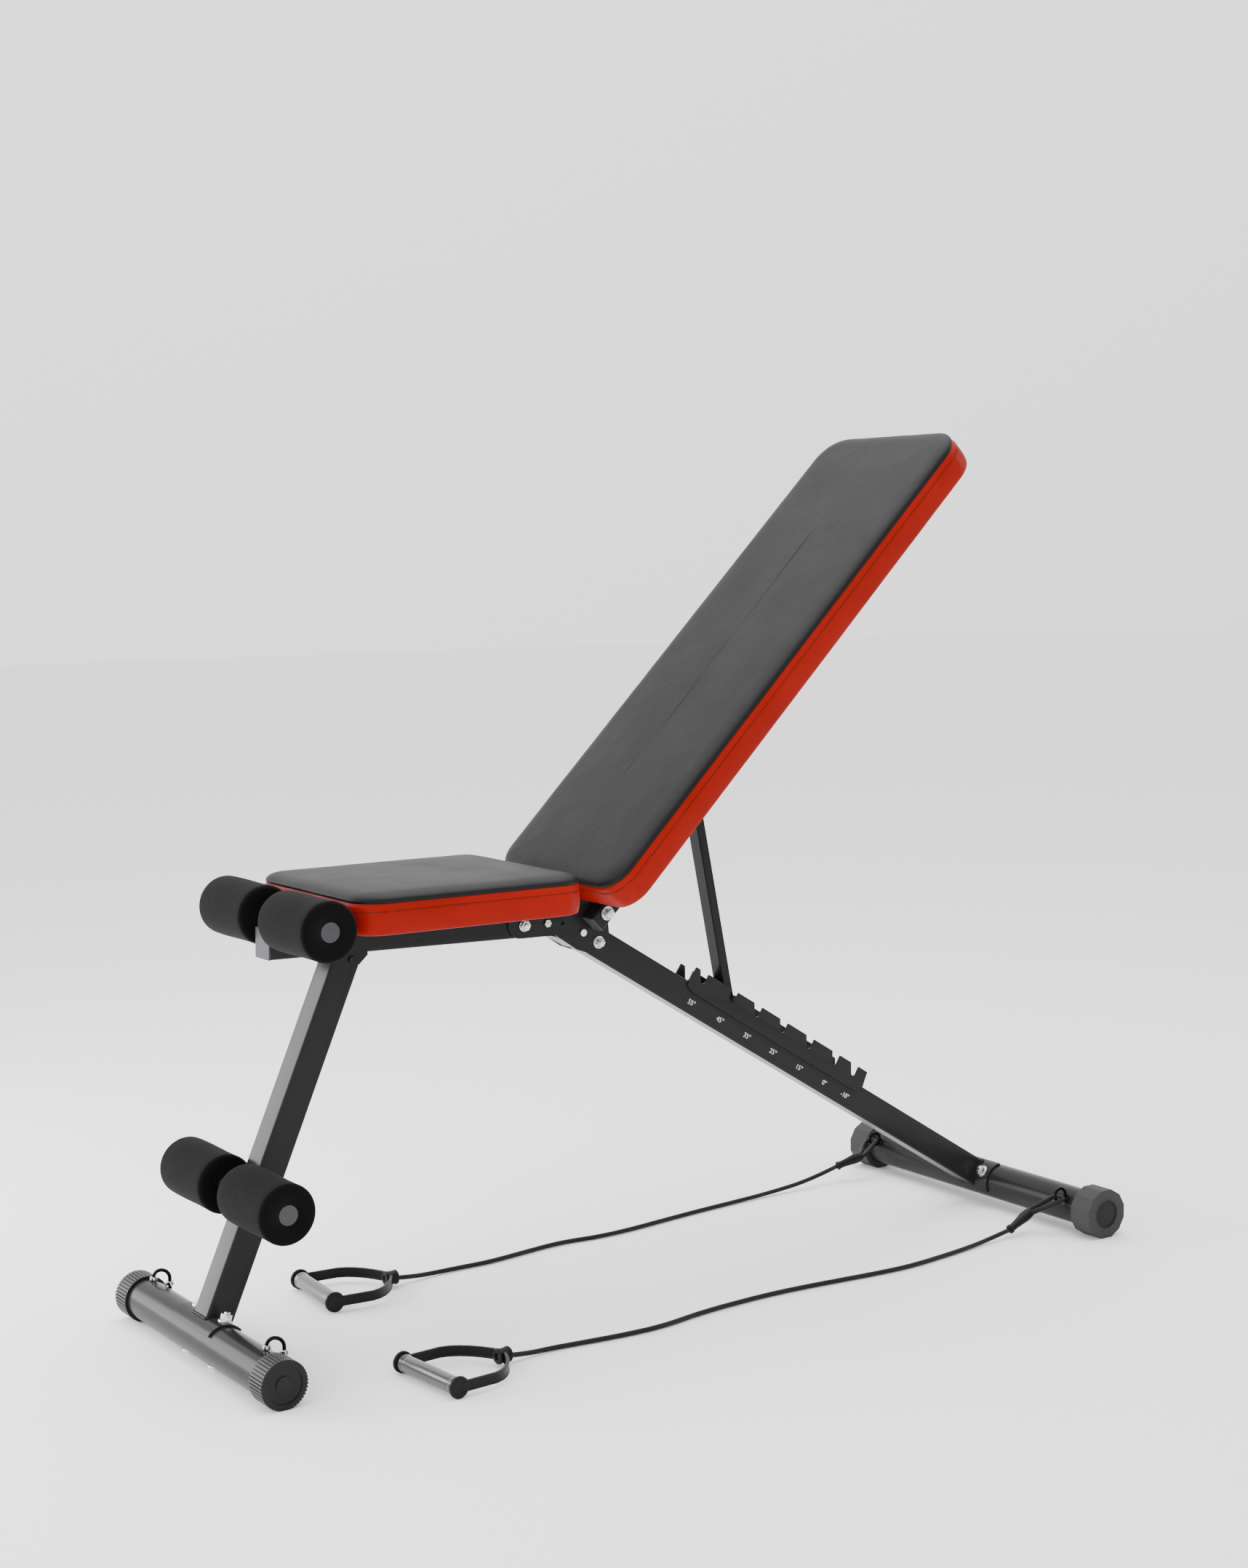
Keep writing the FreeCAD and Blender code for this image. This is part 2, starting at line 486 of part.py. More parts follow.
for label, side, points in (("near", -1, CORD_NEAR), ("far", 1, CORD_FAR)):
    save("cord_" + label, tube_path(points, "cord " + label, CORD_R))

    low, high = V(*points[0]), V(*CLIP_TOP[label])
    along = (high - low).normalize()
    back = Part.makeCylinder(6.0, (high - low).Length, low, along)
    y = 220.0 * side
    toward = V(high.x - ring_x, 0, high.z - ring_z).normalize()
    eye = V(ring_x, 0, ring_z) + toward * 5.0
    start = high - along * 4.0
    corners = [start, eye + V(0, y + 13.0 * side, 0), eye + V(0, y - 9.0 * side, 0)]
    strap = [Part.makeSphere(2.5, c) for c in corners[1:]]
    for a, b in zip(corners, corners[1:] + corners[:1]):
        strap.append(Part.makeCylinder(2.3, (b - a).Length, a, b - a))
    save("cord_clip_" + label, fuse(back, *strap))

    gx, gy, turn = HANDLES[label]
    place = FreeCAD.Placement(V(gx, gy, GRIP_Z), FreeCAD.Rotation(V(0, 0, 1), turn))
    grip = fuse(rod(0, 0, 11.0, -59.9, 59.9), rod(0, 0, 12.2, -57, -53), rod(0, 0, 12.2, 53, 57))
    grip.Placement = place
    save("handle_grip_" + label, grip)
    outer = [V(0, 65, -BAND_HALF), V(58, 65, -BAND_HALF), V(92, 43, -BAND_HALF), V(113, 9, -BAND_HALF)]
    inner = [V(0, 61, -BAND_HALF), V(57, 61, -BAND_HALF), V(88.5, 40.5, -BAND_HALF),
             V(108, 6, -BAND_HALF)]
    arm = Part.Wire([Part.LineSegment(outer[0], outer[1]).toShape(),
                     Part.Arc(outer[1], outer[2], outer[3]).toShape(),
                     Part.LineSegment(outer[3], inner[3]).toShape(),
                     Part.Arc(inner[3], inner[2], inner[1]).toShape(),
                     Part.LineSegment(inner[1], inner[0]).toShape(),
                     Part.LineSegment(inner[0], outer[0]).toShape()])
    arms = both(Part.Face(arm).extrude(V(0, 0, 2 * BAND_HALF)))
    collar = Part.makeCylinder(10.5, 20.0, V(103, 0, 0), V(1, 0, 0))
    discs = [rod(0, 0, DISC_R, -65, -60), rod(0, 0, DISC_R, 60, 65)]
    yoke = fuse(arms[0], arms[1], collar, *discs)
    yoke.Placement = place
    save("handle_yoke_" + label, yoke)
    print(label, "collar mouth", place.multVec(V(123, 0, 0)))
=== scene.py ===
import json
import math

import bmesh
import bpy
from mathutils import Matrix, Vector, noise


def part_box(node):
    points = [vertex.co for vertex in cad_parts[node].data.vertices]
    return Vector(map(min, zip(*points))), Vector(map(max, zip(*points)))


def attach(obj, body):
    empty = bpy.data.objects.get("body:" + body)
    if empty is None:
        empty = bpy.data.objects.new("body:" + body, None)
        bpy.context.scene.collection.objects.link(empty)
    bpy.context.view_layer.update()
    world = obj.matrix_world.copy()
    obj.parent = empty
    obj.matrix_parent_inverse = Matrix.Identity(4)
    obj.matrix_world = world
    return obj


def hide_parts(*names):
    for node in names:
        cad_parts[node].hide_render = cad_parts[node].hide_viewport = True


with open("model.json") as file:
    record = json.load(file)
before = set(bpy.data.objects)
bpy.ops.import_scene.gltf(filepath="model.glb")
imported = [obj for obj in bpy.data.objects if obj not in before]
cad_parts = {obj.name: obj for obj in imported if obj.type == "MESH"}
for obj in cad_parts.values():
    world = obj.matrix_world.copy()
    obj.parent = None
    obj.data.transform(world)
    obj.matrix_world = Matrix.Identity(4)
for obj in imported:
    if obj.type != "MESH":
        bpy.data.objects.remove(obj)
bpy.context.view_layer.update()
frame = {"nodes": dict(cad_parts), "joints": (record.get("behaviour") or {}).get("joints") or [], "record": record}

NODES = frame["nodes"]
JOINTS = {j["name"]: j for j in frame["joints"]}
COLLECTION = bpy.context.scene.collection

MM = 0.001
CREASE = math.radians(28)                   # faces that meet at more than this keep a sharp edge
FRONT_FOOT = (-0.6775, 0.0, 0.0315)         # the middle of each foot tube's centre line
BACK_FOOT = (0.6724, 0.0, 0.0368)
RIB_GROOVE_SHADE_RADIUS, RIB_TOP_LIGHT_RADIUS = 0.0306, 0.0319        # painted shade: the front caps' colour goes from dark in the rib grooves to light on the rib tops between these radii
BACK_SETTING = 45.0                         # the backrest at rest, above level, degrees
LEG_LEAN = 23.3                             # the front leg from upright, degrees


# ---------------------------------------------------------------- materials
def new_material(name):
    mat = bpy.data.materials.new(name)
    mat.use_nodes = True
    tree = mat.node_tree
    return mat, tree, tree.nodes["Principled BSDF"]


def texture_space(tree, scale=(1, 1, 1)):
    coords = tree.nodes.new("ShaderNodeTexCoord")
    mapping = tree.nodes.new("ShaderNodeMapping")
    mapping.inputs["Scale"].default_value = scale
    tree.links.new(coords.outputs["Object"], mapping.inputs["Vector"])
    return mapping.outputs["Vector"]


def noise_node(tree, vector, scale, detail=4.0, rough=0.55):
    node = tree.nodes.new("ShaderNodeTexNoise")
    node.inputs["Scale"].default_value = scale
    node.inputs["Detail"].default_value = detail
    node.inputs["Roughness"].default_value = rough
    tree.links.new(vector, node.inputs["Vector"])
    return node.outputs["Fac"]


def ramp(tree, fac, stops):
    node = tree.nodes.new("ShaderNodeValToRGB")
    node.color_ramp.elements[0].position = stops[0][0]
    node.color_ramp.elements[0].color = (*stops[0][1], 1)
    node.color_ramp.elements[1].position = stops[-1][0]
    node.color_ramp.elements[1].color = (*stops[-1][1], 1)
    for place, colour in stops[1:-1]:
        node.color_ramp.elements.new(place).color = (*colour, 1)
    tree.links.new(fac, node.inputs["Fac"])
    return node.outputs["Color"]


def to_range(tree, fac, low, high):
    node = tree.nodes.new("ShaderNodeMapRange")
    node.inputs["To Min"].default_value = low
    node.inputs["To Max"].default_value = high
    tree.links.new(fac, node.inputs["Value"])
    return node.outputs["Result"]


def bump(tree, bsdf, height, strength, distance, under=None):
    node = tree.nodes.new("ShaderNodeBump")
    node.inputs["Strength"].default_value = strength
    node.inputs["Distance"].default_value = distance
    tree.links.new(height, node.inputs["Height"])
    if under is not None:
        tree.links.new(under, node.inputs["Normal"])
    tree.links.new(node.outputs["Normal"], bsdf.inputs["Normal"])
    return node.outputs["Normal"]


def round_edges(tree, radius):
    node = tree.nodes.new("ShaderNodeBevel")
    node.samples = 4
    node.inputs["Radius"].default_value = radius
    return node.outputs["Normal"]


def worn_edges(tree, base_colour, edge_colour, low=0.52, high=0.62):
    geometry = tree.nodes.new("ShaderNodeNewGeometry")
    mask = ramp(tree, geometry.outputs["Pointiness"], ((low, (0, 0, 0)), (high, (1, 1, 1))))
    mix = tree.nodes.new("ShaderNodeMix")
    mix.data_type = "RGBA"
    tree.links.new(mask, mix.inputs["Factor"])
    tree.links.new(base_colour, mix.inputs["A"])
    mix.inputs["B"].default_value = (*edge_colour, 1)
    return mix.outputs["Result"]


def paint():
    mat, tree, bsdf = new_material("black_paint")
    vector = texture_space(tree)
    cloud = noise_node(tree, vector, 9.0)
    tone = ramp(tree, cloud, ((0.3, (0.0020, 0.0020, 0.0022)), (0.7, (0.0034, 0.0034, 0.0037))))
    colour = worn_edges(tree, tone, (0.016, 0.016, 0.017))
    tree.links.new(colour, bsdf.inputs["Base Color"])
    fine = noise_node(tree, vector, 420.0, 3.0)
    tree.links.new(to_range(tree, cloud, 0.16, 0.26), bsdf.inputs["Roughness"])
    bump(tree, bsdf, fine, 0.10, 0.0002, round_edges(tree, 0.0010))
    bsdf.inputs["Specular IOR Level"].default_value = 0.09
    return mat


def zinc():
    mat, tree, bsdf = new_material("bright_zinc")
    vector = texture_space(tree)
    cloud = noise_node(tree, vector, 160.0)
    tone = ramp(tree, cloud, ((0.3, (0.50, 0.50, 0.50)), (0.55, (0.68, 0.68, 0.67)),
                              (0.8, (0.80, 0.79, 0.76))))
    tree.links.new(tone, bsdf.inputs["Base Color"])
    tree.links.new(to_range(tree, cloud, 0.18, 0.36), bsdf.inputs["Roughness"])
    bump(tree, bsdf, noise_node(tree, vector, 900.0), 0.12, 0.0002, round_edges(tree, 0.0004))
    bsdf.inputs["Metallic"].default_value = 1.0
    return mat


def rubber(name, dark, light, rough_low, rough_high, grain=700.0, strength=0.3):
    mat, tree, bsdf = new_material(name)
    vector = texture_space(tree)
    cloud = noise_node(tree, vector, 30.0)
    tree.links.new(worn_edges(tree, ramp(tree, cloud, ((0.3, dark), (0.7, light))),
                              tuple(2.0 * c for c in light)), bsdf.inputs["Base Color"])
    tree.links.new(to_range(tree, cloud, rough_low, rough_high), bsdf.inputs["Roughness"])
    bump(tree, bsdf, noise_node(tree, vector, grain, 2.0), strength, 0.0002, round_edges(tree, 0.0007))
    bsdf.inputs["Specular IOR Level"].default_value = 0.12
    return mat


def rubber_with_painted_rib_shade():
    """Foot rubber with painted shade and light: nearly black at the bottom of the ribs and lighter on their tops,
    by distance from the foot's axis.
    """
    mat, tree, bsdf = new_material("rubber_with_painted_rib_shade")
    vector = texture_space(tree)
    from_axis = tree.nodes.new("ShaderNodeVectorMath")
    from_axis.operation = "SUBTRACT"
    from_axis.inputs[1].default_value = FRONT_FOOT
    flat = tree.nodes.new("ShaderNodeVectorMath")
    flat.operation = "MULTIPLY"
    flat.inputs[1].default_value = (1.0, 0.0, 1.0)
    reach = tree.nodes.new("ShaderNodeVectorMath")
    reach.operation = "LENGTH"
    tree.links.new(vector, from_axis.inputs[0])
    tree.links.new(from_axis.outputs["Vector"], flat.inputs[0])
    tree.links.new(flat.outputs["Vector"], reach.inputs[0])
    height = to_range(tree, reach.outputs["Value"], 0.0, 1.0)
    height.node.inputs["From Min"].default_value = RIB_GROOVE_SHADE_RADIUS
    height.node.inputs["From Max"].default_value = RIB_TOP_LIGHT_RADIUS
    # painted shade in the rib grooves and painted light on the rib tops, not a colour of the rubber
    tone = ramp(tree, height, ((0.0, (0.003, 0.003, 0.003)), (0.55, (0.006, 0.006, 0.006)),
                               (1.0, (0.030, 0.030, 0.031))))
    tree.links.new(tone, bsdf.inputs["Base Color"])
    tree.links.new(to_range(tree, noise_node(tree, vector, 30.0), 0.45, 0.60), bsdf.inputs["Roughness"])
    bump(tree, bsdf, noise_node(tree, vector, 700.0, 2.0), 0.3, 0.0002, round_edges(tree, 0.0005))
    bsdf.inputs["Specular IOR Level"].default_value = 0.25
    return mat


def foam():
    mat, tree, bsdf = new_material("roller_foam")
    vector = texture_space(tree)
    cells = tree.nodes.new("ShaderNodeTexVoronoi")
    cells.inputs["Scale"].default_value = 620.0
    tree.links.new(vector, cells.inputs["Vector"])
    speck = noise_node(tree, vector, 820.0, 3.0, 0.7)
    tone = ramp(tree, speck, ((0.30, (0.0010, 0.0010, 0.0012)), (0.60, (0.0030, 0.0030, 0.0033)),
                              (0.80, (0.014, 0.014, 0.015))))
    tree.links.new(tone, bsdf.inputs["Base Color"])
    bsdf.inputs["Roughness"].default_value = 0.86
    bsdf.inputs["Specular IOR Level"].default_value = 0.06
    bsdf.inputs["Sheen Weight"].default_value = 0.02
    bsdf.inputs["Sheen Roughness"].default_value = 0.5
    first = bump(tree, bsdf, cells.outputs["Distance"], 0.35, 0.0006)
    bump(tree, bsdf, noise_node(tree, vector, 60.0), 0.25, 0.002, first)
    return mat


def coated_cloth(name, dark, light, rough_low, rough_high, specular):
    mat, tree, bsdf = new_material(name)
    vector = texture_space(tree)
    cloud = noise_node(tree, vector, 6.0, 5.0)
    tree.links.new(ramp(tree, cloud, ((0.3, dark), (0.7, light))), bsdf.inputs["Base Color"])
    tree.links.new(to_range(tree, noise_node(tree, vector, 14.0), rough_low, rough_high),
                   bsdf.inputs["Roughness"])
    grain = tree.nodes.new("ShaderNodeTexVoronoi")
    grain.feature = "DISTANCE_TO_EDGE"
    grain.inputs["Scale"].default_value = 900.0
    tree.links.new(vector, grain.inputs["Vector"])
    first = bump(tree, bsdf, grain.outputs["Distance"], 0.22, 0.0004)
    bump(tree, bsdf, noise_node(tree, vector, 38.0, 6.0, 0.6), 0.20, 0.0035, first)
    bsdf.inputs["Specular IOR Level"].default_value = specular
    return mat


def board_wood():
    mat, tree, bsdf = new_material("stained_board")
    vector = texture_space(tree, (1, 1, 12))
    layers = noise_node(tree, vector, 60.0)
    tree.links.new(ramp(tree, layers, ((0.3, (0.012, 0.011, 0.010)), (0.7, (0.035, 0.030, 0.026)))),
                   bsdf.inputs["Base Color"])
    bsdf.inputs["Roughness"].default_value = 0.7
    bump(tree, bsdf, layers, 0.3, 0.0006)
    return mat


def pearl_plastic():
    mat, tree, bsdf = new_material("pearl_grey_plastic")
    vector = texture_space(tree)
    cloud = noise_node(tree, vector, 22.0)
    tree.links.new(ramp(tree, cloud, ((0.3, (0.050, 0.051, 0.053)), (0.7, (0.060, 0.061, 0.064)))),
                   bsdf.inputs["Base Color"])
    tree.links.new(to_range(tree, cloud, 0.24, 0.32), bsdf.inputs["Roughness"])
    bsdf.inputs["Metallic"].default_value = 0.20
    bsdf.inputs["Coat Weight"].default_value = 0.25
    bsdf.inputs["Coat Roughness"].default_value = 0.08
    bump(tree, bsdf, noise_node(tree, vector, 500.0), 0.04, 0.0002)
    return mat


def ink():
    mat, tree, bsdf = new_material("white_ink")
    vector = texture_space(tree)
    tone = ramp(tree, noise_node(tree, vector, 400.0), ((0.3, (0.62, 0.62, 0.61)), (0.6, (0.80, 0.80, 0.79))))
    tree.links.new(tone, bsdf.inputs["Base Color"])
    bsdf.inputs["Roughness"].default_value = 0.5
    return mat


PAINT = paint()
ZINC = zinc()
FOOT_RUBBER = rubber("foot_rubber", (0.010, 0.010, 0.0105), (0.017, 0.017, 0.0175), 0.50, 0.64)
# front cap rubber whose colour holds painted shade in the rib grooves
RIB_SHADE_PAINTED_RUBBER = rubber_with_painted_rib_shade()
GREY_PLASTIC = rubber("grey_plastic", (0.016, 0.0165, 0.018), (0.026, 0.0265, 0.029), 0.42, 0.58)
SATIN_PLASTIC = rubber("satin_plastic", (0.004, 0.004, 0.0045), (0.008, 0.008, 0.0085), 0.34, 0.48)
CORD_RUBBER = rubber("cord_rubber", (0.004, 0.004, 0.004), (0.009, 0.009, 0.009), 0.34, 0.50, 300.0, 0.2)
LABEL = rubber("label_film", (0.005, 0.005, 0.005), (0.008, 0.008, 0.008), 0.45, 0.60)
BOARD = board_wood()
FOAM = foam()
TOP_CLOTH = coated_cloth("charcoal_cloth", (0.0034, 0.0034, 0.0040), (0.0060, 0.0060, 0.0069),
                         0.46, 0.60, 0.16)
BAND_CLOTH = coated_cloth("orange_cloth", (0.210, 0.0026, 0.0002), (0.290, 0.0052, 0.0004),
                          0.42, 0.56, 0.10)
THREAD = rubber("dark_thread", (0.004, 0.002, 0.002), (0.012, 0.006, 0.005), 0.6, 0.8)
PEARL = pearl_plastic()
INK = ink()

BY_SLOT = {"black_frame": PAINT, "zinc_steel": ZINC, "foot_rubber": FOOT_RUBBER,
           "grey_plastic": GREY_PLASTIC, "pad_board": BOARD, "pad_cover": TOP_CLOTH,
           "roller_foam": FOAM, "cord_rubber": CORD_RUBBER, "black_plastic": SATIN_PLASTIC,
           "grip_plastic": PEARL, "label_film": LABEL}
BY_NODE = {"front_cap_near": RIB_SHADE_PAINTED_RUBBER, "front_cap_far": RIB_SHADE_PAINTED_RUBBER, "leg_bracket_bolts": PAINT, "strut_pin": PAINT}


def crease_edges(obj):
    split = obj.modifiers.new("crease", "EDGE_SPLIT")
    split.split_angle = CREASE


for part in frame["record"]["subparts"]:
    cad_node = NODES[part["node"]]
    cad_mesh = cad_node.data
    cad_mesh.materials.clear()
    cad_mesh.materials.append(BY_NODE.get(part["node"], BY_SLOT[part["material_slot"]]))
    cad_mesh.polygons.foreach_set("use_smooth", [True] * len(cad_mesh.polygons))
    weld = cad_node.modifiers.new("weld", "WELD")
    weld.merge_threshold = 0.00001
    crease_edges(cad_node)


# ---------------------------------------------------------------- mesh helpers
def add_mesh(name, bm, materials, body):
    mesh = bpy.data.meshes.new(name)
    bmesh.ops.recalc_face_normals(bm, faces=bm.faces)
    bm.to_mesh(mesh)
    bm.free()
    for mat in materials:
        mesh.materials.append(mat)
    mesh.polygons.foreach_set("use_smooth", [True] * len(mesh.polygons))
    obj = bpy.data.objects.new(name, mesh)
    COLLECTION.objects.link(obj)
    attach(obj, body)
    return obj


def skin(bm, rings, closed=False):
    """Faces between neighbouring rings: round to the first again when closed, else capped at both ends."""
    pairs = list(zip(rings, rings[1:]))
    if closed:
        pairs.append((rings[-1], rings[0]))
    for here, there in pairs:
        for i in range(len(here)):
            j = (i + 1) % len(here)
            bm.faces.new((here[i], here[j], there[j], there[i]))
    if not closed:
        bm.faces.new(rings[0])
        bm.faces.new(rings[-1])


def lathe(bm, profile, centre, sides=72):
    """profile is a closed loop of (radius, y); it turns about the line along Y through centre."""
    rings = []
    for k in range(sides):
        a = 2 * math.pi * k / sides
        rings.append([bm.verts.new((centre[0] + r * math.cos(a), centre[1] + y, centre[2] + r * math.sin(a)))
                      for r, y in profile])
    skin(bm, rings, closed=True)


def soften(obj, degrees):
    """Round the edges that are sharper than the angle given."""
    bevel = obj.modifiers.new("soft_edges", "BEVEL")
    bevel.width = 0.0005
    bevel.segments = 2
    bevel.limit_method = "ANGLE"
    bevel.angle_limit = math.radians(degrees)


def strand(name, stations, thickness, body):
    """A round NURBS strand through stations of (point in metres, share of its thickness)."""
    curve = bpy.data.curves.new(name, "CURVE")
    curve.dimensions = "3D"
    spline = curve.splines.new("NURBS")
    spline.points.add(len(stations) - 1)
    for control, (point, share) in zip(spline.points, stations):
        control.co = (*point, 1)
        control.radius = share
    spline.order_u = 3
    spline.use_endpoint_u = True
    spline.resolution_u = 8
    curve.bevel_depth = thickness / 2
    curve.bevel_resolution = 4
    curve.use_fill_caps = True
    curve.materials.append(CORD_RUBBER)
    obj = bpy.data.objects.new(name, curve)
    COLLECTION.objects.link(obj)
    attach(obj, body)
    return obj


def centre_of(node):
    low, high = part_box(node)
    return [(a + b) / 2 for a, b in zip(low, high)]


# ---------------------------------------------------------------- camera
CAMERA_AT = (-1.9344, -2.8488, 1.0439)
YAW, PITCH, ROLL = math.radians(34.04), math.radians(5.57), math.radians(-0.53)
right = Vector((math.cos(YAW), -math.sin(YAW), 0))
ahead = Vector((math.sin(YAW) * math.cos(PITCH), math.cos(YAW) * math.cos(PITCH), -math.sin(PITCH)))
up = right.cross(ahead)
right, up = (math.cos(ROLL) * right + math.sin(ROLL) * up,
             math.cos(ROLL) * up - math.sin(ROLL) * right)
camera_data = bpy.data.cameras.new("camera")
camera_data.sensor_fit = "VERTICAL"
camera_data.sensor_height = 36.0
camera_data.lens = 55.457
camera_data.shift_x = -0.0012
camera_data.shift_y = 0.0023
camera = bpy.data.objects.new("camera", camera_data)
facing = Matrix((right, up, -ahead)).transposed().to_4x4()
camera.matrix_world = Matrix.Translation(CAMERA_AT) @ facing
COLLECTION.objects.link(camera)
bpy.context.scene.camera = camera


# ---------------------------------------------------------------- cords
# Points in millimetres, the same as in the part's source; handles are x, y and the way they point in degrees.
CORD_NEAR = ((555.6, -195, 12), (501.6, -201, 5.5), (447.6, -211, 4), (384.6, -221.5, 4),
             (322.6, -229.5, 4), (259.6, -227, 4), (197.6, -222, 4), (138.6, -217.5, 4),
             (78.6, -216, 4), (13.6, -220, 4), (-50.4, -227, 4), (-119.9, -243, 4),
             (-180.4, -243.5, 4), (-240.4, -238, 4), (-293.4, -232.5, 4), (-337.4, -240, 7),
             (-382.3, -246.1, 14.4))
CORD_FAR = ((551.6, 215, 26), (489.6, 209.5, 13), (402.6, 209, 5), (327.6, 201.5, 4),
            (252.6, 193, 4), (177.6, 181.5, 4), (102.6, 169, 4), (40.6, 165, 4),
            (-19.9, 173, 4), (-89.4, 162, 4), (-158.4, 149.5, 4), (-207.4, 150.5, 4),
            (-255.4, 148, 4.5), (-295.4, 141.5, 7.5), (-339.3, 136.1, 14.4))
HANDLES = {"near": (-487.9, -255.3, 5.0), "far": (-445.0, 143.5, -4.0)}
HANDLE_HEIGHT = 0.0144
GRIP_HALF = 0.0599
NECK_FROM, NECK_TO = 0.875, 0.965           # the ring near each end of the grip, as shares of its half length
GROOVE_FROM, GROOVE_TO = 0.80, 0.86
BAND_LINE = [(0.0, 63.0), (20.0, 63.0), (40.0, 63.0), (57.5, 63.0), (70.0, 58.6), (80.0, 51.8),
             (90.2, 41.8), (99.0, 29.6), (106.0, 17.0), (110.5, 7.5)]
BAND_SECTION = [(-2.2, -7.1), (-2.2, -5.4), (-1.3, -4.8), (-1.3, 4.8), (-2.2, 5.4), (-2.2, 7.1),
                (2.2, 7.1), (2.2, 5.4), (1.3, 4.8), (1.3, -4.8), (2.2, -5.4), (2.2, -7.1)]
COLLAR_PROFILE = [(0.0046, -0.0100), (0.0092, -0.0100), (0.0105, -0.0086), (0.0105, -0.0060),
                  (0.0098, -0.0052), (0.0098, 0.0052), (0.0105, 0.0060), (0.0105, 0.0086),
                  (0.0092, 0.0100), (0.0036, 0.0100), (0.0036, 0.0040), (0.0036, -0.0040)]
COLLAR_AHEAD = 0.113
DISC_FROM, DISC_TO = 0.0601, 0.0652         # the grip's end discs, along the grip from its middle
DISC_R, DISC_EDGE = 0.0143, 0.0010


def grip_mesh():
    """A moulded grip with a slight belly and a ringed neck at each end."""
    steps = 48
    profile = [(0.0006, -GRIP_HALF)]
    for k in range(steps + 1):
        y = -GRIP_HALF + 2 * GRIP_HALF * k / steps
        t = abs(y) / GRIP_HALF
        r = 0.0112 - 0.0006 * t * t
        if NECK_FROM < t < NECK_TO:
            r += 0.0012 * math.sin(math.pi * (t - NECK_FROM) / (NECK_TO - NECK_FROM))
        if GROOVE_FROM < t < GROOVE_TO:
            r -= 0.0005 * math.sin(math.pi * (t - GROOVE_FROM) / (GROOVE_TO - GROOVE_FROM))
        profile.append((r, y))
    profile.append((0.0006, GRIP_HALF))
    bm = bmesh.new()
    lathe(bm, profile, (0, 0, 0), 48)
    return bm


def yoke_band(bm, side):
    """A curved band with raised rims on one side of the handle, and the disc at that end of the grip."""
    rings = []
    for i, (x, y) in enumerate(BAND_LINE):
        before = Vector(BAND_LINE[max(i - 1, 0)])
        after = Vector(BAND_LINE[min(i + 1, len(BAND_LINE) - 1)])
        onward = (after - before).normalized()
        across = Vector((-onward.y, onward.x))
        rings.append([bm.verts.new((MM * (x + across.x * u), MM * side * (y + across.y * u), MM * v))
                      for u, v in BAND_SECTION])
    skin(bm, rings)
    y0, y1 = sorted((side * DISC_FROM, side * DISC_TO))
    disc = [(0.0004, y0), (DISC_R - DISC_EDGE, y0), (DISC_R, y0 + DISC_EDGE), (DISC_R, y1 - DISC_EDGE),
            (DISC_R - DISC_EDGE, y1), (0.0004, y1)]
    lathe(bm, disc, (0, 0, 0), 40)


def yoke_collar(bm):
    """The rimmed collar at the front of the yoke, where the cord goes in."""
    barrel = bmesh.new()
    lathe(barrel, COLLAR_PROFILE, (0, 0, 0), 40)
    bmesh.ops.rotate(barrel, verts=barrel.verts, cent=(0, 0, 0), matrix=Matrix.Rotation(-math.pi / 2, 3, "Z"))
    bmesh.ops.translate(barrel, verts=barrel.verts, vec=(COLLAR_AHEAD, 0, 0))
    scratch = bpy.data.meshes.new("barrel")
    barrel.to_mesh(scratch)
    barrel.free()
    bm.from_mesh(scratch)
    bpy.data.meshes.remove(scratch)


def yoke_mesh():
    bm = bmesh.new()
    for side in (-1, 1):
        yoke_band(bm, side)
    yoke_collar(bm)
    return bm


def place_handle(bm, label):
    x, y, degrees = HANDLES[label]
    heading = Matrix.Rotation(math.radians(degrees), 3, "Z")
    bmesh.ops.rotate(bm, verts=bm.verts, cent=(0, 0, 0), matrix=heading)
    bmesh.ops.translate(bm, verts=bm.verts, vec=(MM * x, MM * y, HANDLE_HEIGHT))
    return bm


def corded_handle(label, points):
    """A cord, and at its end a grip in its yoke."""
    cord = strand("resistance_cord_" + label, [([MM * c for c in p], 1.0) for p in points], 0.007,
                  "rear_frame")
    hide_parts("cord_" + label)
    grip = add_mesh("grip_" + label, place_handle(grip_mesh(), label), [PEARL], "rear_frame")
    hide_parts("handle_grip_" + label)
    yoke = add_mesh("yoke_" + label, place_handle(yoke_mesh(), label), [SATIN_PLASTIC],
                    "rear_frame")
    soften(yoke, 30)
    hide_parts("handle_yoke_" + label)


for cord_side, route in (("near", CORD_NEAR), ("far", CORD_FAR)):
    corded_handle(cord_side, route)


# ---------------------------------------------------------------- pads
ROLL = 0.024                                # how far the rolled edge reaches in over the top
RISE = 0.0125                               # its height above the seam
BAND_BULGE = 0.0016                         # how far the side band stands out at its middle
CROWN_REACH = 0.085                         # the crown is full this far in from the pad's edge
CORNER_REACH = 0.075                        # the band's gathers fade out this far from a corner
STITCH_PITCH, STITCH_LENGTH, STITCH_R = 0.0052, 0.0034, 0.00062
STITCH_OUT = 0.0013                         # the stitches lie this far outside the pad's outline


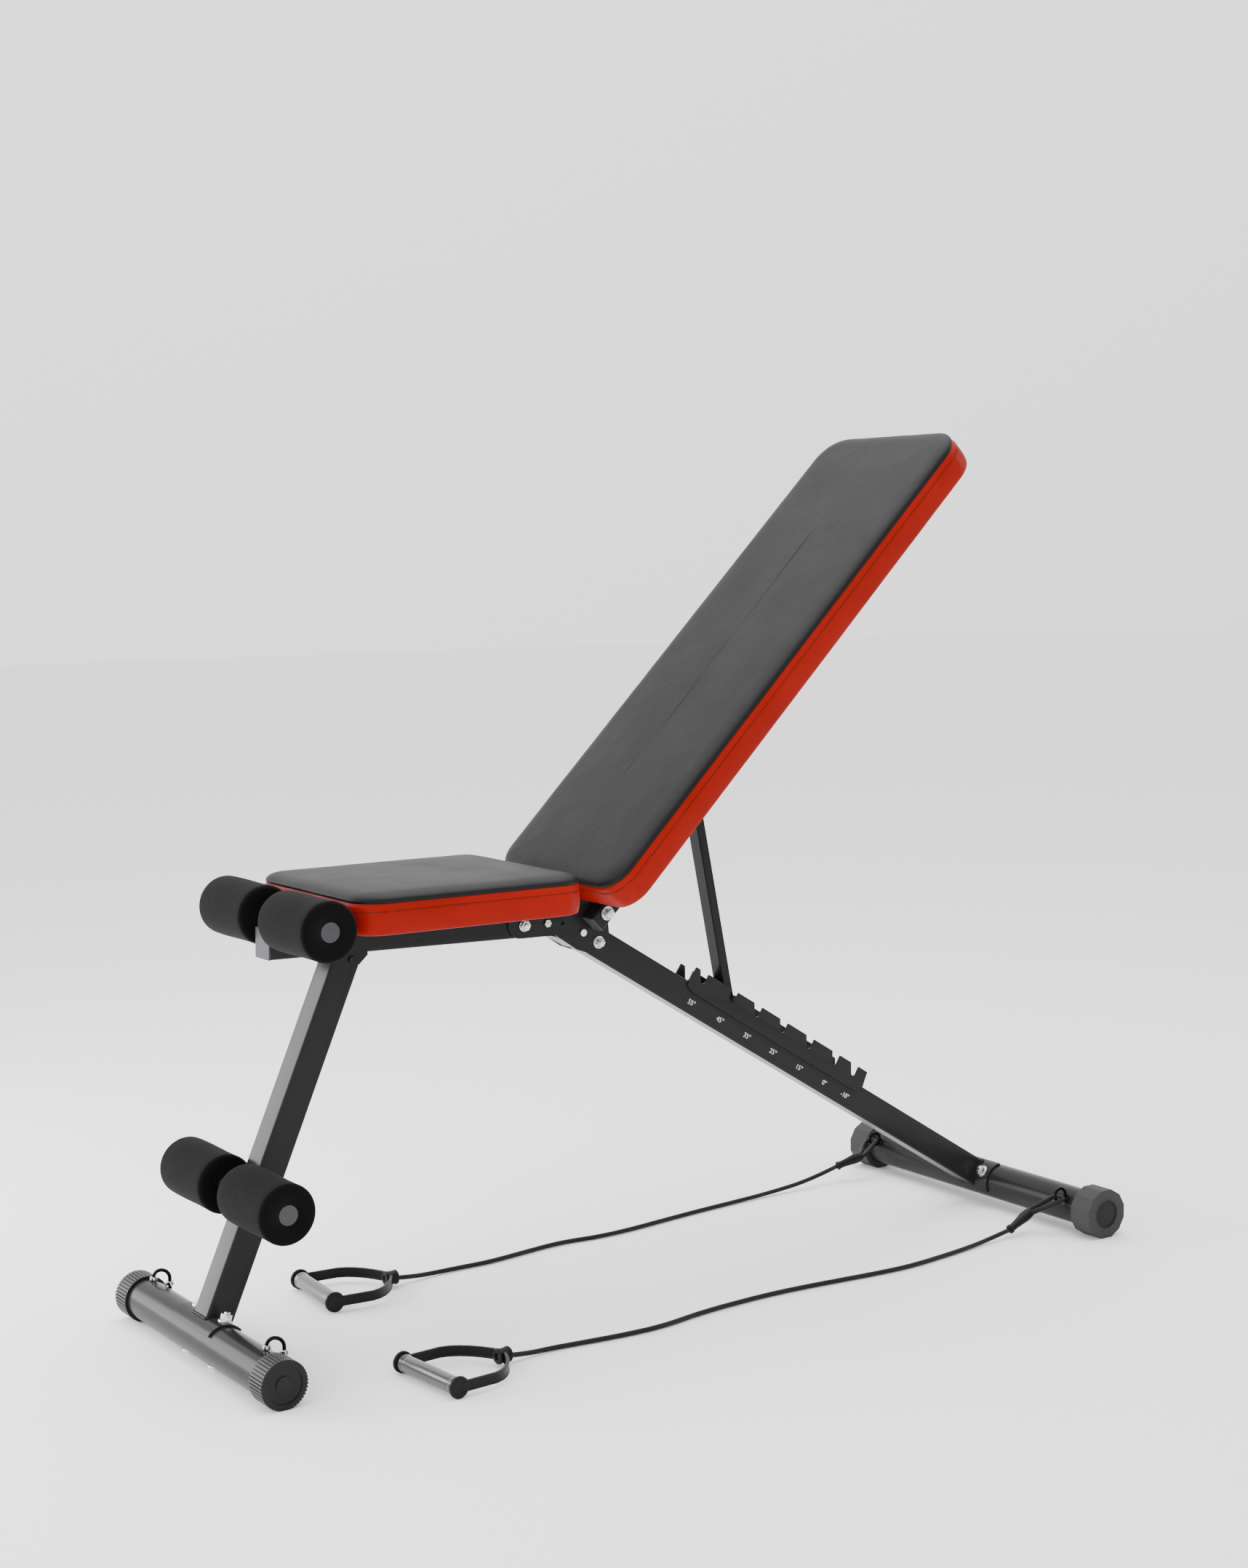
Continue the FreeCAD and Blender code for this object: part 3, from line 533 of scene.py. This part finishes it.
def pad_outline(pad, inset, per_corner=14, per_side=60, per_end=22):
    """Points round a rectangle with rounded corners, moved in by inset, always the same number of them."""
    x0, x1, half = pad["x0"] + inset, pad["x1"] - inset, pad["half"] - inset
    r0, r1 = max(pad["r0"] - inset, 0.0004), max(pad["r1"] - inset, 0.0004)
    corners = [(x1 - r1, half - r1, r1, 0), (x0 + r0, half - r0, r0, 90),
               (x0 + r0, -half + r0, r0, 180), (x1 - r1, -half + r1, r1, 270)]
    pts = []
    for index, (cx, cy, r, start) in enumerate(corners):
        for k in range(per_corner):
            a = math.radians(start + 90 * k / (per_corner - 1))
            pts.append((cx + r * math.cos(a), cy + r * math.sin(a)))
        nx, ny, nr, ns = corners[(index + 1) % 4]
        a = math.radians(ns)
        end = (nx + nr * math.cos(a), ny + nr * math.sin(a))
        begin = pts[-1]
        count = per_side if index in (0, 2) else per_end
        for k in range(1, count):
            t = k / count
            pts.append((begin[0] + (end[0] - begin[0]) * t, begin[1] + (end[1] - begin[1]) * t))
    return pts


def pad_rings(pad):
    """(inset, height, 1 for top cloth) of each ring, from the underside up the band and over the top."""
    seam = pad["seam"]
    rings = [(0.0100, 0.0004, 0), (0.0035, 0.0003, 0), (0.0012, 0.0012, 0), (0.0002, 0.0040, 0)]
    band_steps, roll_steps, top_steps = 9, 12, 22
    for k in range(1, band_steps):
        t = k / band_steps
        rings.append((-BAND_BULGE * math.sin(math.pi * t), 0.004 + (seam - 0.005) * t, 0))
    rings += [(0.0003, seam - 0.0012, 0), (0.0014, seam - 0.0002, 0), (0.0016, seam + 0.0004, 1),
              (0.0003, seam + 0.0014, 1), (0.0002, seam + 0.0030, 1)]
    for k in range(1, roll_steps):
        a = math.radians(90 * k / roll_steps)
        rings.append((0.0002 + ROLL * (1 - math.cos(a)), seam + 0.0030 + (RISE - 0.003) * math.sin(a), 1))
    for k in range(1, top_steps + 1):
        depth = 0.0242 + (pad["half"] - 0.0015 - 0.0242) * (k / top_steps) ** 1.15
        rings.append((depth, seam + RISE, 1))
    return rings


def top_height(pad, x, y, height):
    """The top's height at a point: a crown, a slow unevenness, and a finer one, stronger near the seam."""
    edge = min(pad["half"] - abs(y), x - pad["x0"], pad["x1"] - x)
    swell = min(max(edge - 0.004, 0) / CROWN_REACH, 1)
    inside = min(edge / 0.03, 1)
    slow = 0.0007 * inside * noise.noise(Vector((x * 9 + pad["seed"], y * 13, 0.3)))
    fine = 0.00035 * noise.noise(Vector((x * 40 + pad["seed"], y * 26, 4.1))) * (0.4 + 0.6 * (1 - inside))
    return height + (pad["crown"] - pad["seam"] - RISE) * math.sin(0.5 * math.pi * swell) + slow + fine


def band_point(pad, index, x, y, height):
    """A point of the band, moved out or in by the gathers near the corners and a slow unevenness."""
    to_end = min(abs(x - pad["x0"]), abs(pad["x1"] - x))
    near_corner = max(0.0, 1 - math.hypot(to_end, pad["half"] - abs(y)) / CORNER_REACH)
    folds = math.sin(index * 1.25) + 0.7 * noise.noise(Vector((index * 0.55, pad["seed"], 2.0)))
    gathers = folds * 0.0010 * near_corner * math.sin(math.pi * min(height / pad["seam"], 1))
    outward = gathers + 0.0005 * noise.noise(Vector((x * 16, y * 16, height * 22 + pad["seed"])))
    middle = (pad["x0"] + pad["x1"]) / 2
    away = Vector((x - middle, y * (pad["x1"] - pad["x0"]) / (2 * pad["half"]))).normalized()
    return x + away.x * outward, y + away.y * outward


def make_pad(name, cover, body, matrix, pad):
    """A cushion: side band, seam, rolled edge and a padded top that rises a little to its middle."""
    rings = pad_rings(pad)
    bm = bmesh.new()
    loops = []
    for inset, height, is_top in rings:
        loop = []
        for index, (x, y) in enumerate(pad_outline(pad, inset)):
            z = height
            if is_top:
                z = top_height(pad, x, y, height)
            else:
                x, y = band_point(pad, index, x, y, height)
            loop.append(bm.verts.new(matrix @ Vector((x, y, z))))
        loops.append(loop)
    skin(bm, loops)
    for number, face in enumerate(bm.faces):
        upper = min(number // len(loops[0]) + 1, len(rings) - 1)
        face.material_index = rings[upper][2]
    cushion = add_mesh(name, bm, [BAND_CLOTH, TOP_CLOTH], body)
    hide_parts(cover)


def stitch(bm, at, onward, height, matrix):
    """One short raised stitch, thin at both ends."""
    across = Vector((onward.y, -onward.x))
    rings = []
    for place, share in ((-0.5, 0.25), (-0.3, 1.0), (0.3, 1.0), (0.5, 0.25)):
        base = at + onward * (STITCH_LENGTH * place)
        r = STITCH_R * share
        ring = []
        for k in range(6):
            a = 2 * math.pi * k / 6
            offset = across * (r * math.cos(a))
            point = Vector((base.x + offset.x, base.y + offset.y, height + r * math.sin(a)))
            ring.append(bm.verts.new(matrix @ point))
        rings.append(ring)
    skin(bm, rings)


def stitch_row(name, body, matrix, pad):
    """A row of stitches round the side band, below its seam."""
    path = [Vector(point) for point in pad_outline(pad, -STITCH_OUT, 24, 200, 80)]
    bm = bmesh.new()
    travel, due = 0.0, 0.0
    for a, b in zip(path, path[1:] + path[:1]):
        step = (b - a).length
        if step < 1e-9:
            continue
        onward = (b - a) / step
        while due <= travel + step:
            stitch(bm, a + onward * (due - travel), onward, pad["stitches"], matrix)
            due += STITCH_PITCH
        travel += step
    add_mesh(name, bm, [THREAD], body)


recline = Vector(JOINTS["recline"]["pos_m"])
RAIL_MATRIX = Matrix.Translation(recline) @ Matrix.Rotation(math.radians(-BACK_SETTING), 4, "Y")
BACK_MATRIX = RAIL_MATRIX @ Matrix.Translation((0, 0, 0.029))
seat_low, seat_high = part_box("seat_pad_cover")
SEAT_MATRIX = Matrix.Translation((0, 0, seat_low[2]))
SEAT_PAD = {"x0": seat_low[0], "x1": seat_high[0], "half": seat_high[1], "r0": 0.040, "r1": 0.040,
            "seam": 0.0415, "crown": 0.0575, "stitches": 0.0315, "seed": 3.0}
BACK_PAD = {"x0": -0.006, "x1": 0.880, "half": seat_high[1], "r0": 0.040, "r1": 0.050,
            "seam": 0.0430, "crown": 0.0585, "stitches": 0.0330, "seed": 11.0}
make_pad("seat_cushion", "seat_pad_cover", "seat_frame", SEAT_MATRIX, SEAT_PAD)
make_pad("back_cushion", "back_pad_cover", "backrest", BACK_MATRIX, BACK_PAD)
stitch_row("seat_stitching", "seat_frame", SEAT_MATRIX, SEAT_PAD)
stitch_row("back_stitching", "backrest", BACK_MATRIX, BACK_PAD)


# ---------------------------------------------------------------- foam rollers
ROLLER_BORE = 0.01255
ROLLER_EDGE = 0.0065                        # radius of the rounded edge at each end


def roller_profile(radius, half, side):
    """Rounded edges, a faintly wavy outside, and a bore with a seat for the end plug on its outer side."""
    def rim(end):
        angles = [math.radians(90 * k / 6) for k in range(7)]
        return [(radius - ROLLER_EDGE + ROLLER_EDGE * math.cos(a),
                 end * (half - ROLLER_EDGE + ROLLER_EDGE * math.sin(a))) for a in angles]

    outside = [(radius + 0.0004 * math.sin(3 * t), (half - ROLLER_EDGE) * t)
               for t in (-0.8, -0.5, -0.2, 0.2, 0.5, 0.8)]
    bore = [(0.0137, half - 0.0006), (0.0135, half - 0.0053), (ROLLER_BORE, half - 0.0054),
            (ROLLER_BORE, -half)]
    if side < 0:
        bore = [(r, -y) for r, y in reversed(bore)]
    return rim(-1)[::-1] + outside + rim(1) + bore


def foam_roller(level, label, side):
    node = "foam_" + level + "_" + label
    low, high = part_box(node)
    centre = centre_of(node)
    bm = bmesh.new()
    lathe(bm, roller_profile((high[2] - low[2]) / 2, (high[1] - low[1]) / 2, side), centre, 96)
    for v in bm.verts:
        reach = math.hypot(v.co.x - centre[0], v.co.z - centre[2])
        if reach > 0.03:
            swell = 1 + 0.0022 * noise.noise(v.co * 14.0) / (reach / 0.04)
            v.co.x = centre[0] + (v.co.x - centre[0]) * swell
            v.co.z = centre[2] + (v.co.z - centre[2]) * swell
    roller = add_mesh("roller_" + level + "_" + label, bm, [FOAM], node)
    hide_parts(node)


for bar in ("upper", "lower"):
    foam_roller(bar, "near", -1)
    foam_roller(bar, "far", 1)


# ---------------------------------------------------------------- strut pin ends
PIN_R, PIN_CHAMFER = 0.0050, 0.0010
PIN_FROM, PIN_TO = 0.0172, 0.0262           # each end, from the bench's middle


def strut_pin_ends():
    """The two ends of the strut's cross pin, which lie in the rack's notches."""
    pin = centre_of("strut_pin")
    bm = bmesh.new()
    for side in (-1, 1):
        y0, y1 = side * PIN_FROM, side * PIN_TO
        profile = [(0.0003, y0), (PIN_R, y0), (PIN_R, y1 - side * 0.0012), (PIN_R - PIN_CHAMFER, y1),
                   (0.0003, y1)]
        lathe(bm, profile, (pin[0], 0, pin[2]), 32)
    add_mesh("strut_pin_ends", bm, [PAINT], "strut")


strut_pin_ends()


# ---------------------------------------------------------------- strap loops and sleeves of the cords
# Both in millimetres: the strap's two places in the back foot's ring, and the sleeve's two ends.
RING_EYE = {"near": ((632.1, -233, 55.5), (632.1, -211, 55.5)),
            "far": ((631.3, 233, 56.8), (631.3, 211, 56.8))}
SLEEVE = {"near": ((555.6, -195, 12), (600.6, -190, 30)), "far": ((551.6, 215, 26), (589.6, 200, 40))}
STRAP_THICKNESS = 0.0076


def cord_sleeve(label, low, onward, reach):
    """The tapered sleeve that joins the cord to its strap."""
    shape = [(0.0034, 0.0), (0.0056, -0.0012), (0.0071, 0.0004), (0.0071, 0.0034), (0.0060, 0.0050),
             (0.0060, 0.26 * reach), (0.0070, 0.50 * reach), (0.0082, 0.70 * reach), (0.0084, 0.86 * reach),
             (0.0076, reach + 0.001), (0.0054, reach + 0.0022), (0.0034, reach - 0.004)]
    bm = bmesh.new()
    lathe(bm, shape, (0, 0, 0), 32)
    lean = Vector((0, 1, 0)).rotation_difference(onward).to_matrix().to_4x4()
    bmesh.ops.transform(bm, matrix=Matrix.Translation(low) @ lean, verts=bm.verts)
    sleeve = add_mesh("cord_sleeve_" + label, bm, [CORD_RUBBER], "rear_frame")
    soften(sleeve, 25)
    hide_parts("cord_clip_" + label)


def cord_strap(label, high, onward):
    """The strap's loop, out of the sleeve, through the ring and back."""
    first, second = (MM * Vector(p) for p in RING_EYE[label])
    root = high - onward * 0.010
    fan = (first - second).normalized()
    stations = [(root - fan * 0.0022, 1.0), (high - fan * 0.0036 + onward * 0.004, 1.05),
                (high.lerp(second, 0.45) - fan * 0.004, 1.05), (second.lerp(high, 0.10), 0.95),
                (second + onward * 0.0015, 0.72), (second.lerp(first, 0.5) + onward * 0.0018, 0.70),
                (first + onward * 0.0015, 0.70), (first.lerp(high, 0.10), 0.95),
                (high.lerp(first, 0.45) + fan * 0.004, 1.05), (high + fan * 0.0036 + onward * 0.004, 1.05),
                (root + fan * 0.0022, 1.0)]
    strand("cord_strap_" + label, stations, STRAP_THICKNESS, "rear_frame")


for cord_side in ("near", "far"):
    sleeve_low, sleeve_high = (MM * Vector(place) for place in SLEEVE[cord_side])
    sleeve_way = (sleeve_high - sleeve_low).normalized()
    cord_sleeve(cord_side, sleeve_low, sleeve_way, (sleeve_high - sleeve_low).length)
    cord_strap(cord_side, sleeve_high, sleeve_way)


# ---------------------------------------------------------------- nuts, washers and bolt ends
# Half the width across flats, height with any washer, washer radius, thread radius, thread that shows.
SEAT_NUT = (0.0068, 0.0058, 0.0086, 0.0040, 0.0024)
SMALL_SEAT_NUT = (0.0048, 0.0040, None, 0.0026, 0.0010)
FOLD_NUT = (0.0057, 0.0082, 0.0090, 0.0042, 0.0022)
STUD_NUT = (0.0068, 0.0083, 0.0101, 0.0061, 0.0022)
STRUT_NUT = (0.0077, 0.0063, 0.0100, 0.0050, 0.0022)
FRONT_NUT = (0.0067, 0.0073, None, 0.0041, 0.0030)
BACK_NUT = (0.0065, 0.0069, None, 0.0041, 0.0026)
EYELET_NUT = (0.0051, 0.0051, None, 0.0027, 0.0005)
PLATE_FACE = 0.0231                         # outer face of the hinge plates, from the bench's middle
STUD_FACE, STRUT_FACE = 0.0504, 0.0491      # the faces that the stud nuts and the strut bolt's nuts stand on
SEAT_BOLT, SMALL_SEAT_BOLT = (-0.1974, 0.5300), (-0.1604, 0.5296)
STRUT_ALONG_RAIL = 0.250
FRONT_BOLT_LEAN, BACK_BOLT_LEAN = 17.0, -54.0   # from upright, degrees
FRONT_NUT_OUT, FRONT_NUT_Y = 0.0326, 0.040      # from the foot's centre line, and to each side of the middle
BACK_NUT_OUT, BACK_NUT_Y = 0.0318, 0.033
EYELET_X, EYELET_Y, EYELET_HALF = -0.6634, 0.176, 0.011
EYELET_TURN = math.radians(32)
EYELET_NUT_Z = {-1: 0.0598, 1: 0.0536}      # the leg nearer the foot's top and the leg further down


def hexagon(flat, a):
    """Radius of a hexagon of that half width, in direction a."""
    return flat / math.cos((a + math.pi / 6) % (math.pi / 3) - math.pi / 6)


def fastener_levels(flat, tall, washer, thread, stub):
    """(round limit, half width of the hexagon or None where it is only round, height) of each level."""
    point = 0.0003
    base = 0.0
    levels = [(point, None, 0.0)]
    if washer:
        base = 0.0013
        levels += [(washer, None, 0.0), (washer, None, 0.0009), (washer - 0.0004, None, base)]
    levels += [(math.inf, 0.97 * flat, base), (math.inf, flat, base + 0.0003),
               (math.inf, flat, tall - 0.0012), (flat * 1.06, flat, tall - 0.0006), (flat * 0.93, None, tall),
               (thread + 0.0005, None, tall), (thread - 0.0002, None, tall - 0.0004)]
    turns = 4
    for k in range(turns):
        z0 = tall + stub * k / (turns + 1)
        levels += [(thread, None, z0), (thread, None, z0 + 0.4 * stub / (turns + 1)),
                   (thread - 0.0004, None, z0 + 0.7 * stub / (turns + 1))]
    return levels + [(thread - 0.0002, None, tall + stub * 0.86), (thread - 0.0009, None, tall + stub),
                     (point, None, tall + stub + 0.0002)]


def fastener(bm, at, axis, *sizes):
    """A washer, a chamfered hexagon and the end of a thread, standing on a face at the point given."""
    at, axis = Vector(at), Vector(axis).normalized()
    across = axis.orthogonal().normalized()
    beside = axis.cross(across)
    sides = 48
    rings = []
    for limit, flat, height in fastener_levels(*sizes):
        ring = []
        for k in range(sides):
            a = 2 * math.pi * k / sides
            r = limit if flat is None else min(limit, hexagon(flat, a))
            place = at + across * (r * math.cos(a)) + beside * (r * math.sin(a)) + axis * height
            ring.append(bm.verts.new(place))
        rings.append(ring)
    skin(bm, rings)


def add_fasteners(name, body, places):
    bm = bmesh.new()
    for place in places:
        fastener(bm, *place)
    crease_edges(add_mesh(name, bm, [ZINC], body))


def mirrored(x, z, y, sizes):
    """The same fastener on the near and the far side."""
    return [((x, side * y, z), (0, side, 0), *sizes) for side in (-1, 1)]


def leaning(degrees):
    return Vector((math.sin(math.radians(degrees)), 0, math.cos(math.radians(degrees))))


def foot_nuts(foot, lean, out, apart, sizes):
    axis = leaning(lean)
    return [(Vector(foot) + Vector((0, y, 0)) + axis * out, axis, *sizes) for y in (-apart, apart)]


def eyelet_nuts():
    places = []
    for side in (-1, 1):
        for k, base in EYELET_NUT_Z.items():
            at = (EYELET_X + k * EYELET_HALF * math.cos(EYELET_TURN),
                  EYELET_Y * side - k * EYELET_HALF * math.sin(EYELET_TURN), base)
            places.append((at, (0, 0, 1), *EYELET_NUT))
    return places


fold = Vector(JOINTS["fold"]["pos_m"])
strut_pivot = RAIL_MATRIX @ Vector((STRUT_ALONG_RAIL, 0, 0))
add_fasteners("seat_bolt_ends", "seat_frame", mirrored(*SEAT_BOLT, PLATE_FACE, SEAT_NUT)
              + mirrored(*SMALL_SEAT_BOLT, PLATE_FACE, SMALL_SEAT_NUT))
add_fasteners("fold_bolt_ends", "seat_frame", mirrored(fold.x, fold.z, PLATE_FACE, FOLD_NUT))
add_fasteners("stud_ends", "seat_frame", mirrored(recline.x, recline.z, STUD_FACE, STUD_NUT))
add_fasteners("strut_bolt_ends", "backrest", mirrored(strut_pivot.x, strut_pivot.z, STRUT_FACE, STRUT_NUT))
add_fasteners("front_foot_nuts", "seat_frame",
              foot_nuts(FRONT_FOOT, FRONT_BOLT_LEAN, FRONT_NUT_OUT, FRONT_NUT_Y, FRONT_NUT))
add_fasteners("back_foot_nuts", "rear_frame",
              foot_nuts(BACK_FOOT, BACK_BOLT_LEAN, BACK_NUT_OUT, BACK_NUT_Y, BACK_NUT))
add_fasteners("front_eyelet_nuts", "seat_frame", eyelet_nuts())


# ---------------------------------------------------------------- weld beads
WELD_SIZE = 0.0019


def weld_bead(name, body, path, seed):
    """A lumpy fillet of weld along a closed path of (point, outward direction)."""
    bm = bmesh.new()
    rings = []
    for i, (at, outward) in enumerate(path):
        onward = (path[(i + 1) % len(path)][0] - path[i - 1][0]).normalized()
        lift = outward.cross(onward).normalized()
        lump = WELD_SIZE * (1 + 0.22 * math.sin(i * 1.9 + seed) + 0.25 * noise.noise(at * 160))
        rings.append([bm.verts.new(at + outward * (lump * math.cos(2 * math.pi * k / 8))
                                   + lift * (lump * math.sin(2 * math.pi * k / 8))) for k in range(8)])
    skin(bm, rings, closed=True)
    add_mesh(name, bm, [PAINT], body)


def square_path(half_a, half_b, steps=26):
    """Points round a rectangle, in its own plane."""
    corners = [(half_a, half_b), (-half_a, half_b), (-half_a, -half_b), (half_a, -half_b)]
    pts = []
    for (a0, b0), (a1, b1) in zip(corners, corners[1:] + corners[:1]):
        for k in range(steps):
            t = (k + 0.5) / steps
            pts.append((a0 + (a1 - a0) * t, b0 + (b1 - b0) * t))
    return pts


def tube_on_foot(name, body, foot, axis, half_a, half_b, radius, seed):
    """The weld where a rectangular tube stands on a round foot tube."""
    side = Vector((axis.z, 0, -axis.x))
    path = []
    for a, b in square_path(half_a, half_b):
        out_a = a / half_a if abs(a) > half_a - 1e-6 else 0
        out_b = b / half_b if abs(b) > half_b - 1e-6 else 0
        outward = side * out_a + Vector((0, out_b, 0))
        reach = math.sqrt(radius * radius - a * a)
        path.append((Vector(foot) + side * a + Vector((0, b, 0)) + axis * reach, outward.normalized()))
    weld_bead(name, body, path, seed)


tube_on_foot("leg_weld", "seat_frame", FRONT_FOOT, leaning(LEG_LEAN),
             half_a=0.0202, half_b=0.0202, radius=0.0316, seed=0.4)
to_fold = Vector((fold.x - BACK_FOOT[0], 0, fold.z - BACK_FOOT[2])).normalized()
tube_on_foot("beam_weld", "rear_frame", BACK_FOOT, to_fold,
             half_a=0.0212, half_b=0.0182, radius=0.0311, seed=1.7)


# ---------------------------------------------------------------- angle numbers
# Each setting in degrees, and its place along the beam from the fold bolt.
SETTINGS = (("55", 0.196), ("45", 0.256), ("35", 0.314), ("25", 0.371), ("15", 0.429), ("0", 0.486),
            ("-10", 0.533))
NUMBER_SIZE = 0.0104
NUMBER_DOWN = 0.005                         # the row lies this far below the beam's centre line

foot_centre = centre_of("back_cap_near")
drop = math.atan2(fold.z - foot_centre[2], foot_centre[0] - fold.x)
BEAM_WAY = Vector((math.cos(drop), 0, -math.sin(drop)))
BEAM_UP = Vector((math.sin(drop), 0, math.cos(drop)))
LABEL_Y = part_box("angle_label")[0][1]


def angle_number(name, words, s):
    text = bpy.data.curves.new(name, "FONT")
    text.body = words + "°"
    text.size = NUMBER_SIZE
    text.align_x = "CENTER"
    text.align_y = "CENTER"
    text.extrude = 0.00008
    text.materials.append(INK)
    obj = bpy.data.objects.new(name, text)
    COLLECTION.objects.link(obj)
    at = fold + BEAM_WAY * s - BEAM_UP * NUMBER_DOWN
    reading = Matrix((BEAM_WAY, BEAM_UP, Vector((0, -1, 0)))).transposed().to_4x4()
    obj.matrix_world = Matrix.Translation((at.x, LABEL_Y - 0.0001, at.z)) @ reading
    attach(obj, "rear_frame")


for order, (setting, along_beam) in enumerate(SETTINGS):
    angle_number("angle_" + str(order), setting, along_beam)


# ---------------------------------------------------------------- floor and light
floor_mat, _, floor_bsdf = new_material("pale_floor")
floor_bsdf.inputs["Base Color"].default_value = (0.90, 0.90, 0.90, 1)
floor_bsdf.inputs["Roughness"].default_value = 0.85
floor_bsdf.inputs["Specular IOR Level"].default_value = 0.1
bpy.ops.mesh.primitive_plane_add(size=40, location=(0, 0, 0))
floor = bpy.context.object
floor.name = "floor"
floor.data.materials.append(floor_mat)

world = bpy.data.worlds.new("studio")
world.use_nodes = True
sky = world.node_tree
direction = sky.nodes.new("ShaderNodeTexCoord")
upward = sky.nodes.new("ShaderNodeVectorMath")
upward.operation = "DOT_PRODUCT"
upward.inputs[1].default_value = (0.0, 0.60, 0.80)
sky.links.new(direction.outputs["Generated"], upward.inputs[0])
strength = to_range(sky, upward.outputs["Value"], 0.85, 2.3)
strength.node.inputs["From Min"].default_value = -0.60
strength.node.inputs["From Max"].default_value = 1.00
sky.links.new(strength, sky.nodes["Background"].inputs["Strength"])
sky.nodes["Background"].inputs["Color"].default_value = (1, 1, 1, 1)
bpy.context.scene.world = world


def area_light(name, at, aim, size, power):
    data = bpy.data.lights.new(name, "AREA")
    data.shape = "RECTANGLE"
    data.size, data.size_y = size
    data.energy = power
    obj = bpy.data.objects.new(name, data)
    aiming = (Vector(aim) - Vector(at)).to_track_quat("-Z", "Y").to_matrix().to_4x4()
    obj.matrix_world = Matrix.Translation(at) @ aiming
    obj.visible_camera = False
    COLLECTION.objects.link(obj)


area_light("top", (0.2, 0.4, 3.6), (0, 0, 0.4), (3.4, 2.6), 120)
area_light("left_card", (-1.8, 1.25, 0.65), (-0.4, 0.15, 0.3), (1.64, 1.2), 54)
area_light("left_key", (-3.6, -1.4, 1.9), (0, 0, 0.5), (2.2, 2.0), 45)
